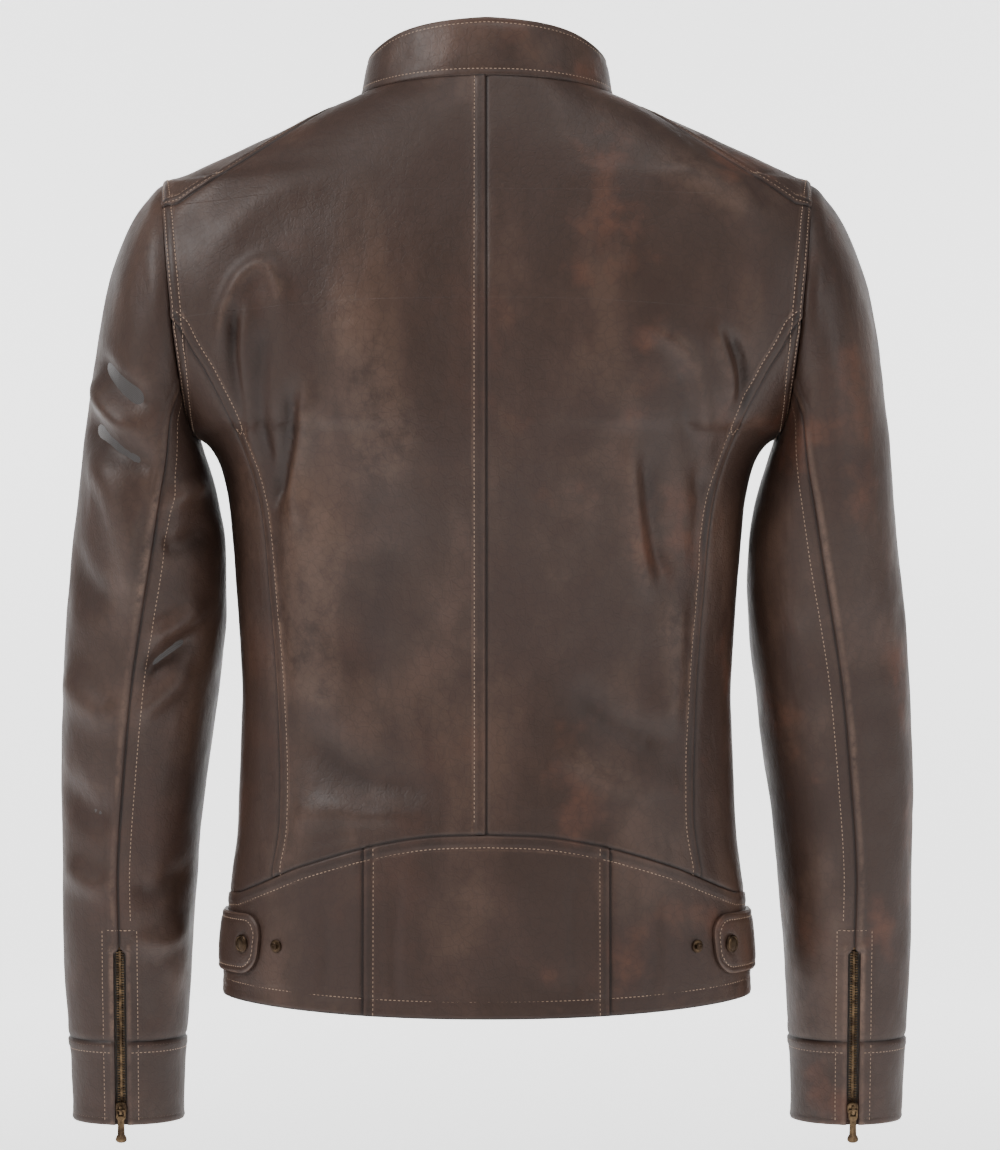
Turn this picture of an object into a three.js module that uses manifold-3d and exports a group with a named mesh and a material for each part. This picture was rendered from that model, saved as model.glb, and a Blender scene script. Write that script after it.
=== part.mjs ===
// A leather riding jacket: a plain stand-collar jacket on its own two shoulders, empty inside.
// Millimetres, +Z up, the front of the jacket faces -Y and the wearer's left is +X.
// The origin is the centre of the neck opening, level with the collar seam at the nape.

import * as THREE from 'three';
import { mergeVertices } from 'three/addons/utils/BufferGeometryUtils.js';
import Module from 'manifold-3d';

const wasm = await Module();
wasm.setup();

// ---- Driving dimensions ------------------------------------------------------------------

const gap = 0.3;               // air between two pieces that touch on the real jacket
const leather = 2.0;           // leather with its backing
const liningRoom = 8;          // behind the leather, deep enough for the pocket zips
const liningDepth = leather + liningRoom;
const liningCloth = 0.8;

const backLength = 657;        // nape seam to hem, down the centre of the back
const hemCurve = 8;            // the hem is this much higher at the side
const sideLength = backLength - hemCurve;
const sideNeckDrop = 6;        // the neck seam at the side of the neck, below the nape
const frontNeckDrop = 75;      // the neck seam at the front zip, below the nape
const neckHalfWidth = 90;
const hemHalfWidth = 190;
const waistHalfWidth = 177;
const waistDrop = 440;
const chestHalfWidth = 184;    // just under the sleeves
const chestDrop = 310;
const backFullness = 1.0;      // scales the depth of the back
const sectionPower = 0.92;     // below 1 the cross section is fuller than an ellipse

const armholeRadius = 90;
const armholeTop = { x: 231, z: -69 };
const armholeTilt = 6.2 * Math.PI / 180;
const armholeClearance = 1.2;  // the body's edge stands this far outside the sleeve's

const zipFrontTop = -98;       // y of the centre front at the neck seam
const zipFrontHem = -128;      // y of the centre front at the hem
const zipGap = 5.5;            // half the gap between the two front edges
const sideSeamY = -25;

const collarHeight = 42;       // at the nape
const collarSideHeight = 27;
const collarFrontHeight = 38;
const collarFacing = 1.6;

// Heights in the skirt are given as shares of the way down from the waist to the hem.
const skirtBack = (share) => -waistDrop - (backLength - waistDrop) * share;
const skirtSide = (share) => -waistDrop - (sideLength - waistDrop) * share;

const princessSeam = [[226, -150], [216, -172], [206, -192], [196, -208], [176, -249], [160, -298],
  [153, -367], [148, 3 - waistDrop], [146, skirtBack(0.373)], [151, skirtBack(0.521)],
  [160, skirtBack(0.737)]];
const archSeam = [[0, skirtBack(0.415)], [44, skirtBack(0.424)], [86, skirtBack(0.461)],
  [131, skirtBack(0.525)], [181, skirtBack(0.636)], [215, skirtBack(0.7)]];
const lowerSeamX = 86;
const shoulderSeamBack = [[84, 2], [100, -9], [160, -51], [222, -92], [250, -110]];
const shoulderSeamFront = [[60, -28], [110, -46], [170, -84], [226, -125], [250, -142]];

const sleeveLength = 746;      // nape level to the cuff edge
const elbowDrop = 405;
const elbowForward = 20;       // the fold line, in front of the sleeve's middle
const elbowBend = 55 * Math.PI / 180;
const cuffBand = 61;
const cuffHalfWidth = 41;
const cuffHalfDepth = 44;
const cuffZipX = 263;
const cuffZipLength = 128;
const cuffZipGap = 4.5;

const pocketLength = 145;
const pocketTop = { x: 112, z: 219 - sideLength };
const pocketLean = 12;         // the lower end is this much further out
const welt = { width: 22, thickness: 1.6, lift: 1.1 };

const tab = { height: 42, thickness: 2.8, length: 84, drop: sideLength - 39, snapFromEnd: 15, startY: -12 };
const snap = { cap: 6.5, capHeight: 2.4, post: 2.6, base: 4.6, baseHeight: 0.7, postHeight: 2.3 };
const spareStud = 15;          // beyond the free end of the tab
const collarTab = { height: 24, length: 62, start: 26, thickness: 2.6 };

const mainZip = { bead: 2.4, inner: 0.9, tapeEdge: 9.5, plate: 10, slider: 15, pull: 34 };
const mainZipDrawn = 39;       // from the top of the teeth to the slider, just below the collar tab
const tapeTop = -3.5;          // the tape lies behind the leather on each side of a zip
const tapeCloth = 0.7;
const beadLift = 0.9;
const smallZip = { bead: 2.0, inner: 0.9, tapeEdge: 8.2, plate: 7.6, slider: 11, pull: 24 };

// ---- Small tools -------------------------------------------------------------------------

const v3 = (x, y, z) => new THREE.Vector3(x, y, z);

// A smooth curve through [height, value] stations, lowest height first.
function stations(list) {
  const slope = list.map((p, i) => {
    const a = list[Math.max(i - 1, 0)];
    const b = list[Math.min(i + 1, list.length - 1)];
    return (b[1] - a[1]) / (b[0] - a[0]);
  });
  return (h) => {
    if (h <= list[0][0]) return list[0][1];
    const last = list.length - 1;
    if (h >= list[last][0]) return list[last][1];
    const i = list.findIndex((p) => p[0] > h) - 1;
    const span = list[i + 1][0] - list[i][0];
    const t = (h - list[i][0]) / span;
    const t2 = t * t;
    const t3 = t2 * t;
    return (2 * t3 - 3 * t2 + 1) * list[i][1] + (t3 - 2 * t2 + t) * span * slope[i]
      + (-2 * t3 + 3 * t2) * list[i + 1][1] + (t3 - t2) * span * slope[i + 1];
  };
}

function toSolid(geometry) {
  const bare = new THREE.BufferGeometry();
  bare.setAttribute('position', geometry.getAttribute('position'));
  if (geometry.index) bare.setIndex(geometry.index);
  const merged = mergeVertices(bare, 1e-4);
  return new wasm.Manifold(new wasm.Mesh({
    numProp: 3,
    vertProperties: new Float32Array(merged.getAttribute('position').array),
    triVerts: new Uint32Array(merged.index.array),
  }));
}

function toGeometry(solid) {
  const mesh = solid.getMesh();
  const geometry = new THREE.BufferGeometry();
  geometry.setAttribute('position', new THREE.BufferAttribute(new Float32Array(mesh.vertProperties), 3));
  geometry.setIndex(new THREE.BufferAttribute(new Uint32Array(mesh.triVerts), 1));
  return geometry;
}

function joined(...geometries) {
  return toGeometry(geometries.map(toSolid).reduce((sum, solid) => sum.add(solid)));
}

// A sheet from a grid of points: coincident points become one, and collapsed faces go.
function sheet(grid, flip = false) {
  const points = [];
  const faces = [];
  const known = new Map();
  const index = grid.map((row) => row.map((p) => {
    const key = [p.x, p.y, p.z].map((c) => Math.round(c * 1e3)).join();
    if (!known.has(key)) {
      known.set(key, points.length);
      points.push(p);
    }
    return known.get(key);
  }));
  const add = (a, b, c) => {
    if (a !== b && b !== c && a !== c) faces.push(flip ? [a, c, b] : [a, b, c]);
  };
  for (let i = 0; i + 1 < grid.length; i++) {
    for (let j = 0; j + 1 < grid[i].length; j++) {
      add(index[i][j], index[i][j + 1], index[i + 1][j + 1]);
      add(index[i][j], index[i + 1][j + 1], index[i + 1][j]);
    }
  }
  return { points, faces };
}

// The closed solid between two offsets of a sheet, measured outward along its normals.
function thicken({ points, faces }, outer, inner) {
  const normals = points.map(() => v3(0, 0, 0));
  for (const [a, b, c] of faces) {
    const n = points[b].clone().sub(points[a]).cross(points[c].clone().sub(points[a]));
    [a, b, c].forEach((i) => normals[i].add(n));
  }
  normals.forEach((n) => n.normalize());
  const count = points.length;
  const vertices = [];
  for (const offset of [outer, inner]) {
    points.forEach((p, i) => vertices.push(...p.clone().addScaledVector(normals[i], offset).toArray()));
  }
  const triangles = [];
  const edges = new Map();
  for (const face of faces) {
    triangles.push(...face, ...[...face].reverse().map((i) => i + count));
    face.forEach((a, k) => edges.set(`${a},${face[(k + 1) % 3]}`, [a, face[(k + 1) % 3]]));
  }
  for (const [a, b] of edges.values()) {
    if (edges.has(`${b},${a}`)) continue;
    triangles.push(b, a, a + count, b, a + count, b + count);
  }
  const geometry = new THREE.BufferGeometry();
  geometry.setAttribute('position', new THREE.Float32BufferAttribute(vertices, 3));
  geometry.setIndex(triangles);
  return geometry;
}

// A prism whose outline is drawn in X and Z and which runs along Y.
function prismAlongY(outline, yLow, yHigh) {
  const shape = new THREE.Shape(outline.map(([x, z]) => new THREE.Vector2(x, z)));
  const geometry = new THREE.ExtrudeGeometry(shape, { depth: yHigh - yLow, bevelEnabled: false });
  geometry.rotateX(Math.PI / 2);
  geometry.translate(0, yHigh, 0);
  return toSolid(geometry);
}

// A prism whose outline is drawn in Y and Z and which runs along X.
function prismAlongX(outline, xLow, xHigh) {
  const shape = new THREE.Shape(outline.map(([y, z]) => new THREE.Vector2(y, z)));
  const geometry = new THREE.ExtrudeGeometry(shape, { depth: xHigh - xLow, bevelEnabled: false });
  geometry.rotateX(Math.PI / 2);
  geometry.rotateZ(Math.PI / 2);
  geometry.translate(xLow, 0, 0);
  return toSolid(geometry);
}

const far = 900;
const shifted = (line, dx, dz) => line.map(([x, z]) => [x + dx, z + dz]);

// Everything under a seam line that runs outward in X, or everything over it.
const under = (line) => [...line, [line[line.length - 1][0], -far], [line[0][0], -far]];
const over = (line) => [...line, [line[line.length - 1][0], 200], [line[0][0], 200]];

function box(xSize, ySize, zSize, x, y, z) {
  return new THREE.BoxGeometry(xSize, ySize, zSize).translate(x, y, z);
}

function mirrored(geometry) {
  const copy = geometry.clone();
  copy.scale(-1, 1, 1);
  const index = copy.index.array;
  for (let i = 0; i < index.length; i += 3) [index[i + 1], index[i + 2]] = [index[i + 2], index[i + 1]];
  return copy;
}

// ---- The body of the jacket --------------------------------------------------------------

const armholeCentre = v3(
  armholeTop.x - armholeRadius * Math.sin(armholeTilt), 0,
  armholeTop.z - armholeRadius * Math.cos(armholeTilt),
);
const armpitZ = armholeTop.z - 2 * armholeRadius * Math.cos(armholeTilt);
const armpitX = armholeTop.x - 2 * armholeRadius * Math.sin(armholeTilt);
const armholeX = (z) => armholeTop.x + (z - armholeTop.z) * Math.tan(armholeTilt);

const underArmWidth = stations([
  [-sideLength, hemHalfWidth], [skirtSide(0.813), hemHalfWidth - 1.5],
  [skirtSide(0.656), hemHalfWidth - 5.5], [skirtSide(0.455), waistHalfWidth + 2],
  [skirtSide(0.239), waistHalfWidth], [-waistDrop, waistHalfWidth - 1],
  [-382, waistHalfWidth + 2], [-chestDrop, chestHalfWidth], [armpitZ - 28, chestHalfWidth + 6],
  [armpitZ - 11, chestHalfWidth + 15], [armpitZ, armpitX],
]);

function sideHalfWidth(z) {
  if (z <= armpitZ) return underArmWidth(z);
  if (z <= armholeTop.z) return armholeX(z);
  const t = (z - armholeTop.z) / (-sideNeckDrop - armholeTop.z);
  return armholeTop.x + (neckHalfWidth - armholeTop.x) * t;
}

// Half the armhole's width, front to back, at a height.
function armholeChord(z) {
  const rise = (z - armholeCentre.z) / Math.cos(armholeTilt);
  return Math.sqrt(Math.max(armholeRadius ** 2 - rise ** 2, 0));
}

// How far round the ellipse the back and front run before they meet the side or the armhole.
const sectionArc = stations([
  [armpitZ - 1, 90], [armpitZ + 24, 80], [armpitZ + 48, 70], [armholeCentre.z, 60],
  [armholeTop.z - 40, 66], [armholeTop.z - 16, 80], [armholeTop.z, 90],
]);

const backDepth = stations([
  [-backLength, 112], [skirtBack(0.553), 104], [skirtBack(0.138), 93], [-400, 93], [-250, 116],
  [-150, 118], [-60, 101], [0, 78],
]);
const zipSlope = (zipFrontHem - zipFrontTop) / (frontNeckDrop - backLength);
const frontY = (z) => zipFrontTop + (z + frontNeckDrop) * zipSlope;

// A point of the body. face is 1 on the back and -1 on the front, across runs from 0 at the
// centre to 1 at the side, and up runs from 0 at the hem to 1 at the neck seam.
function bodyPoint(face, across, up) {
  const sideZ = -sideLength + (sideLength - sideNeckDrop) * up;
  const neckZ = face > 0 ? 0 : -frontNeckDrop;
  const centreZ = -backLength + (backLength + neckZ) * up;
  const centreY = face > 0 ? backDepth(centreZ) * backFullness : frontY(centreZ);
  const sideY = face * armholeChord(sideZ);
  const arc = sectionArc(sideZ) * Math.PI / 180;
  const round = (Math.cos(arc * across) - Math.cos(arc)) / (1 - Math.cos(arc));
  return v3(
    sideHalfWidth(sideZ) * (Math.sin(arc * across) / Math.sin(arc)) ** sectionPower,
    sideY + (centreY - sideY) * Math.max(round, 0) ** sectionPower,
    sideZ + (centreZ - sideZ) * (1 + Math.cos(Math.PI * across)) / 2,
  );
}

// The point of the body's back or front at a given X (positive) and Z, with its outward normal.
function bodyAt(face, x, z) {
  let across = 0.5;
  let up = (z + sideLength) / (sideLength - sideNeckDrop);
  const step = 1e-4;
  for (let i = 0; i < 20; i++) {
    const p = bodyPoint(face, across, up);
    const da = bodyPoint(face, across + step, up).sub(p).divideScalar(step);
    const du = bodyPoint(face, across, up + step).sub(p).divideScalar(step);
    const det = da.x * du.z - da.z * du.x;
    const ex = x - p.x;
    const ez = z - p.z;
    across = Math.min(Math.max(across + (ex * du.z - ez * du.x) / det, 0.01), 0.999);
    up = Math.min(Math.max(up + (da.x * ez - da.z * ex) / det, 0), 0.999);
  }
  const point = bodyPoint(face, across, up);
  const da = bodyPoint(face, across + step, up).sub(point);
  const du = bodyPoint(face, across, up + step).sub(point);
  const normal = da.cross(du).normalize();
  if (normal.y * face < 0) normal.negate();
  return { point, normal };
}

// The whole body as one sheet, from the right front edge round the back to the left front edge.
// Each armhole is closed by a flat wall, which is cut away afterwards.
function bodySheet(columns, heights) {
  const grid = heights.map((sideZ) => {
    const up = (sideZ + sideLength) / (sideLength - sideNeckDrop);
    const row = [];
    const add = (side, face, across) => {
      const p = bodyPoint(face, across, up);
      p.x *= side;
      row.push(p);
    };
    for (let i = 0; i <= columns; i++) add(-1, -1, i / columns);
    for (let i = columns; i >= 0; i--) add(-1, 1, i / columns);
    for (let i = 1; i <= columns; i++) add(1, 1, i / columns);
    for (let i = columns; i >= 0; i--) add(1, -1, i / columns);
    return row;
  });
  return sheet(grid, true);
}

const bodyColumns = 7;
const liningColumns = 4;
const shellHeights = [-sideLength, ...[0.813, 0.647, 0.455, 0.239].map(skirtSide), -waistDrop,
  -375, -chestDrop,
  armpitZ - 28, armpitZ - 11, armpitZ, armpitZ + 18, armpitZ + 48, armholeCentre.z, armholeTop.z - 45,
  armholeTop.z - 16, armholeTop.z, -48, -27, -sideNeckDrop];
const liningHeights = [-sideLength, skirtSide(0.647), skirtSide(0.239), -390,
  armpitZ - 28, armpitZ, armpitZ + 30, armholeCentre.z,
  armholeTop.z - 20, armholeTop.z, -sideNeckDrop];

// A disc on the armhole's axis, used to open the armhole.
function armholeDisc(side, radius, thickness) {
  const disc = new THREE.CylinderGeometry(radius, radius, thickness, 32);
  disc.rotateZ(-Math.PI / 2);
  disc.applyMatrix4(new THREE.Matrix4().makeRotationY(armholeTilt));
  disc.translate(armholeCentre.x, 0, armholeCentre.z);
  return toSolid(side > 0 ? disc : mirrored(disc));
}

function openArmholes(geometry, radius) {
  return toSolid(geometry).subtract(armholeDisc(1, radius, 24)).subtract(armholeDisc(-1, radius, 24));
}

const bodyShell = openArmholes(
  thicken(bodySheet(bodyColumns, shellHeights), 0, -leather),
  armholeRadius + armholeClearance);
const lining = openArmholes(
  thicken(bodySheet(liningColumns, liningHeights), -liningDepth, -liningDepth - liningCloth),
  armholeRadius - 6,
);

const flipX = (outline) => outline.map(([x, z]) => [-x, z]).reverse();
const bySide = (side, outline) => (side > 0 ? outline : flipX(outline));
const half = gap / 2;
const backNear = sideSeamY + half;
const frontNear = sideSeamY - half;

// The parts of the body, each cut from the shell by the seams around it.
function backRegion(side, outline) {
  return prismAlongY(bySide(side, outline), backNear, 300);
}

function frontRegion(side, outline) {
  return prismAlongY(bySide(side, outline), -300, frontNear);
}

function shoulderPanel(side) {
  return bodyShell
    .intersect(prismAlongY(bySide(side, [[60, -far], [400, -far], [400, 200], [60, 200]]), -300, 300))
    .subtract(prismAlongY(bySide(side, [...under(shifted(shoulderSeamBack, 0, half)).slice(0, -1),
      [0, -far], [0, 200], [shoulderSeamBack[0][0], 200]]), sideSeamY, 300))
    .subtract(prismAlongY(bySide(side, [...under(shifted(shoulderSeamFront, 0, half)).slice(0, -1),
      [0, -far], [0, 200], [shoulderSeamFront[0][0], 200]]), -300, sideSeamY));
}

function backPanel(side) {
  const princess = shifted(princessSeam, -half, 0);
  const outline = [[half, 60], ...shifted(shoulderSeamBack, 0, -half), [300, -140], [300, -150],
    ...princess.slice(0, -1), [princess[princess.length - 1][0], -far], [half, -far]];
  return bodyShell.intersect(backRegion(side, outline))
    .subtract(backRegion(side, under([[-50, archSeam[0][1] + half], ...shifted(archSeam, 0, half)])));
}

function sidePanel(side) {
  const princess = shifted(princessSeam, half, 0);
  const outline = [...princess.slice(0, -1), [princess[princess.length - 1][0], -far], [400, -far],
    [400, princess[0][1]]];
  return bodyShell.intersect(backRegion(side, outline))
    .subtract(backRegion(side, under(shifted([...archSeam, [400, -592]], 0, half))));
}

function lowerBackSide(side) {
  const outline = [[lowerSeamX + half, 0], [lowerSeamX + half, -far], [400, -far], [400, 0]];
  return bodyShell.intersect(backRegion(side, outline))
    .subtract(backRegion(side, over(shifted([...archSeam, [400, -592]], 0, -half))));
}

function lowerBackCentre() {
  const edge = lowerSeamX - half;
  const outline = [[-edge, -far], [edge, -far], [edge, 0], [-edge, 0]];
  const arch = shifted(archSeam, 0, -half);
  const cover = [...flipX(arch.slice(1)), ...arch, [215, 200], [-215, 200]];
  return bodyShell.intersect(prismAlongY(outline, 0, 300)).subtract(prismAlongY(cover, 0, 300));
}

const pocketLineX = (z) => pocketTop.x + (pocketTop.z - z) * pocketLean / pocketLength;

// A right-handed frame on the body: z runs up the zip and y points outward.
function lineFrame(top, bottom, outward) {
  const zAxis = top.clone().sub(bottom).normalize();
  const xAxis = outward.clone().cross(zAxis).normalize();
  const yAxis = zAxis.clone().cross(xAxis);
  const rotation = new THREE.Matrix4().makeBasis(xAxis, yAxis, zAxis);
  return { origin: bottom, rotation, length: top.distanceTo(bottom) };
}

function mirrorFrame(frame) {
  const [x, y, z] = [v3(), v3(), v3()];
  frame.rotation.extractBasis(x, y, z);
  [y, z].forEach((v) => { v.x *= -1; });
  return {
    origin: v3(-frame.origin.x, frame.origin.y, frame.origin.z),
    rotation: new THREE.Matrix4().makeBasis(y.clone().cross(z), y, z),
    length: frame.length,
  };
}

function inFrame(geometry, frame) {
  return geometry.clone().applyMatrix4(frame.rotation).translate(...frame.origin.toArray());
}

const mainFrame = lineFrame(
  v3(0, frontY(-frontNeckDrop + collarFrontHeight), -frontNeckDrop + collarFrontHeight),
  v3(0, frontY(-backLength), -backLength),
  v3(0, -1, 0),
);

const pocketFrameLeft = (() => {
  const bottomZ = pocketTop.z - pocketLength;
  const top = bodyAt(-1, pocketLineX(pocketTop.z), pocketTop.z);
  const bottom = bodyAt(-1, pocketLineX(bottomZ), bottomZ);
  return lineFrame(top.point, bottom.point, top.normal.add(bottom.normal).normalize());
})();
const pocketFrames = { left: pocketFrameLeft, right: mirrorFrame(pocketFrameLeft) };

const pocketSlotHalf = 4.5;

function frontPanel(side, frame) {
  const outline = [[zipGap, 60], ...shifted(shoulderSeamFront, 0, -half), [400, -142], [400, -far],
    [zipGap, -far]];
  const slot = box(2 * pocketSlotHalf, 40, pocketLength + 4, 0, 0, pocketLength / 2);
  const room = box(2 * smallZip.tapeEdge + 2, 8, pocketLength + 22, 0, tapeTop + gap - 4, pocketLength / 2);
  return bodyShell.intersect(frontRegion(side, outline))
    .subtract(toSolid(inFrame(slot, frame)))
    .subtract(toSolid(inFrame(room, frame)));
}

function liningHalf(side) {
  const outline = [[half, 100], [half, -far], [400, -far], [400, 100]];
  const zipWindow = [[0, 100], [0, -far], [16, -far], [16, 100]];
  return lining.intersect(prismAlongY(bySide(side, outline), -400, 400))
    .subtract(prismAlongY(bySide(side, zipWindow), -400, 0));
}

function pocketBag(side) {
  const layer = toSolid(thicken(bodySheet(bodyColumns, shellHeights), -leather - 5.4, -leather - 6.1));
  const top = pocketTop.z;
  const bottom = top - pocketLength;
  const outline = [[58, top - 25], [128, top + 12], [150, top], [150, bottom - 21],
    [70, bottom - 21], [58, bottom - 5]];
  return layer.intersect(prismAlongY(bySide(side, outline), -400, -30));
}

// ---- The collar --------------------------------------------------------------------------

// around runs from 0 at the nape over 1 at the side of the neck to 2 at the front zip.
const collarRise = stations([[0, collarHeight], [0.45, collarHeight - 4], [1, collarSideHeight],
  [1.5, (collarSideHeight + collarFrontHeight) / 2 + 1], [2, collarFrontHeight]]);
const collarLean = stations([[0, 8], [0.5, 7], [1, 4.5], [1.6, 1.5], [2, 0]]);

function collarPoint(around, up) {
  const base = around <= 1 ? bodyPoint(1, around, 1) : bodyPoint(-1, 2 - around, 1);
  const rise = collarRise(around) * up + 2 * gap * (1 - up);
  const towardNeck = v3(-base.x, -base.y, 0).normalize();
  const top = base.clone().addScaledVector(towardNeck, collarLean(around) * up ** 1.4);
  top.z += rise;
  if (around > 1.5) {
    const blend = (around - 1.5) / 0.5;
    top.y += (frontY(top.z) - frontY(base.z)) * blend * blend;
  }
  return top;
}

function collarSheet(columns, rows) {
  const grid = [];
  for (let r = 0; r <= rows; r++) {
    const row = [];
    for (let i = columns; i >= 0; i--) {
      row.push(collarPoint(2 * i / columns, r / rows).multiply(v3(-1, 1, 1)));
    }
    for (let i = 1; i <= columns; i++) row.push(collarPoint(2 * i / columns, r / rows));
    grid.push(row);
  }
  return sheet(grid, true);
}

function collarLayer(outer, inner, frontEdge) {
  const window = [[-frontEdge, -200], [frontEdge, -200], [frontEdge, 200], [-frontEdge, 200]];
  return toSolid(thicken(collarSheet(12, 2), outer, inner)).subtract(prismAlongY(window, -300, 0));
}

function hangerLoop() {
  const neck = bodyAt(1, 1, -14).point;
  const y = neck.y - liningDepth - liningCloth - gap;
  const loop = { half: 32, reach: 9, strap: 1.6, height: 8, foot: 7, clear: 6.5 };
  const outer = new THREE.Shape();
  outer.moveTo(-loop.half, 0);
  outer.lineTo(-loop.half, -loop.strap);
  outer.lineTo(-loop.half + loop.foot, -loop.strap);
  outer.quadraticCurveTo(-loop.half / 2, -loop.reach, 0, -loop.reach);
  outer.quadraticCurveTo(loop.half / 2, -loop.reach, loop.half - loop.foot, -loop.strap);
  outer.lineTo(loop.half, -loop.strap);
  outer.lineTo(loop.half, 0);
  outer.lineTo(loop.half - loop.foot - 1.2, 0);
  outer.quadraticCurveTo(loop.half / 2 - 0.5, -loop.reach + loop.strap, 0, -loop.reach + loop.strap);
  outer.quadraticCurveTo(-loop.half / 2 + 0.5, -loop.reach + loop.strap, -loop.half + loop.foot + 1.2, 0);
  const geometry = new THREE.ExtrudeGeometry(outer,
    { depth: loop.height, bevelEnabled: false, curveSegments: 6 });
  return geometry.translate(0, y - loop.clear, -14 - loop.height);
}

// ---- Sleeves -----------------------------------------------------------------------------

// Each ring: outer edge [x, z], inner edge [x, z], half depth and the middle's y.
const cuffMiddle = 262;
const sleeveRings = [
  [[armholeTop.x, armholeTop.z], [armpitX, armpitZ], armholeRadius, 0],
  [[251, -90], [209.5, -252], armholeRadius + 1, 0],
  [[269, -131], [206, -259], armholeRadius, -1],
  [[281, -188], [200, -273], armholeRadius - 2, -3],
  [[289, -245], [193.5, -295], 84, -5],
  [[295, -305], [188.5, -325], 80, -8],
  [[301, -362], [187, -368], 73, -11],
  [[304.5, -elbowDrop], [189.5, -elbowDrop], 68, -14],
  [[309, -490], [203, -490], 62, -22],
  [[308.5, -536], [209, -536], 58, -26],
  [[308, -620], [215.5, -620], 51, -34],
  [[304, -706], [220.5, -706], 46, -40],
  [[cuffMiddle + cuffHalfWidth, -sleeveLength], [cuffMiddle - cuffHalfWidth, -sleeveLength],
    cuffHalfDepth, -43],
];
const sleeveSegments = 16;
const liningSegments = 12;

function sleeveSheet(segments) {
  const grid = sleeveRings.map(([[ox, oz], [ix, iz], depth, y]) => {
    const centre = v3((ox + ix) / 2, y, (oz + iz) / 2);
    const reach = v3((ox - ix) / 2, 0, (oz - iz) / 2);
    const row = [];
    for (let k = 0; k <= segments; k++) {
      const turn = (k % segments + 0.5) * 2 * Math.PI / segments;
      row.push(centre.clone().addScaledVector(reach, Math.cos(turn)).add(v3(0, depth * Math.sin(turn), 0)));
    }
    return row;
  });
  return sheet(grid, true);
}

// Keeps the sleeve on its own side of the armhole plane.
const armholeStop = (() => {
  const block = box(40, 260, armholeRadius * 2 + 80, -20 + 1.5 * gap, 0, 40);
  block.applyMatrix4(new THREE.Matrix4().makeRotationY(armholeTilt));
  block.translate(armholeCentre.x, 0, armholeCentre.z);
  return toSolid(block);
})();

const hindSeam = [[214, -213], [217, -225], [221, -240], [224, -270], [230, -306], [236, -342], [244, -386],
  [251, -429], [258, -497], [263, -561], [cuffZipX, -605], [cuffZipX, -far]];
const foreSeam = [[214, -222], [216, -240], [220, -290], [228, -350], [235, -405], [243, -500], [248, -600],
  [250, -far]];
const sleeveSplitY = -15;

function underSleeveRegion(offset) {
  const inner = (line) => [...shifted(line, offset, 0), [100, -far], [100, line[0][1]]];
  return prismAlongY(inner(hindSeam), sleeveSplitY, 300)
    .add(prismAlongY(inner(foreSeam), -300, sleeveSplitY + 0.01));
}

const elbowY = sleeveRings[7][3] - elbowForward;
const notchRise = Math.tan(elbowBend / 2 + 0.03) * 200;
const belowElbow = prismAlongX([[300, -elbowDrop + half], [elbowY, -elbowDrop + half],
  [elbowY - 200, -elbowDrop + half + notchRise], [elbowY - 200, -far], [300, -far]], 100, 400);
const aboveElbow = prismAlongX([[300, -elbowDrop - half], [elbowY, -elbowDrop - half],
  [elbowY - 200, -elbowDrop - half - notchRise], [elbowY - 200, 100], [300, 100]], 100, 400);

const cuffSeamZ = -sleeveLength + cuffBand;
const aboveCuff = prismAlongX(
  [[-300, cuffSeamZ - half], [300, cuffSeamZ - half], [300, 100], [-300, 100]], 100, 400);
const belowCuff = prismAlongX(
  [[-300, cuffSeamZ + half], [300, cuffSeamZ + half], [300, -far], [-300, -far]], 100, 400);
const cuffZipTopZ = -sleeveLength + cuffZipLength;

function cuffZipSlot(halfWidth, extra = 0) {
  return prismAlongY([[cuffZipX - halfWidth, -far], [cuffZipX + halfWidth, -far],
    [cuffZipX + halfWidth, cuffZipTopZ + extra], [cuffZipX - halfWidth, cuffZipTopZ + extra]],
  sleeveSplitY, 300);
}

const sleeveShell = toSolid(thicken(sleeveSheet(sleeveSegments), 0, -leather)).subtract(armholeStop);
const sleeveLiningDepth = 5.5;

function sleeveParts() {
  const topUpper = sleeveShell.subtract(underSleeveRegion(half)).subtract(belowElbow);
  const underUpper = sleeveShell.intersect(underSleeveRegion(-half)).subtract(belowElbow);
  const lower = sleeveShell.subtract(aboveElbow).subtract(belowCuff)
    .subtract(cuffZipSlot(cuffZipGap));
  const inside = thicken(sleeveSheet(liningSegments), -sleeveLiningDepth, -sleeveLiningDepth - liningCloth);
  return {
    sleeve_top_upper: topUpper,
    sleeve_under_upper: underUpper,
    sleeve_top_lower: lower.subtract(underSleeveRegion(half)),
    sleeve_under_lower: lower.intersect(underSleeveRegion(-half)),
    cuff_band: sleeveShell.subtract(aboveCuff).subtract(cuffZipSlot(cuffZipGap)),
    sleeve_lining: toSolid(inside).subtract(armholeStop).subtract(cuffZipSlot(12, 8)),
  };
}

// The flat facet of the sleeve that carries the cuff zip.
const cuffZipFrame = (() => {
  const facet = Math.sin(Math.PI / 2 - Math.PI / sleeveSegments);
  const topRing = sleeveRings[10];
  const endRing = sleeveRings[12];
  const backAt = ([[, z], , depth, y]) => v3(cuffZipX, y + depth * facet, z);
  const low = backAt(endRing);
  const direction = backAt(topRing).sub(low).normalize();
  const high = low.clone().addScaledVector(direction, cuffZipLength);
  return lineFrame(high, low, v3(0, 1, 0));
})();
const cuffFrames = { left: cuffZipFrame, right: mirrorFrame(cuffZipFrame) };

// ---- Zips --------------------------------------------------------------------------------

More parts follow.
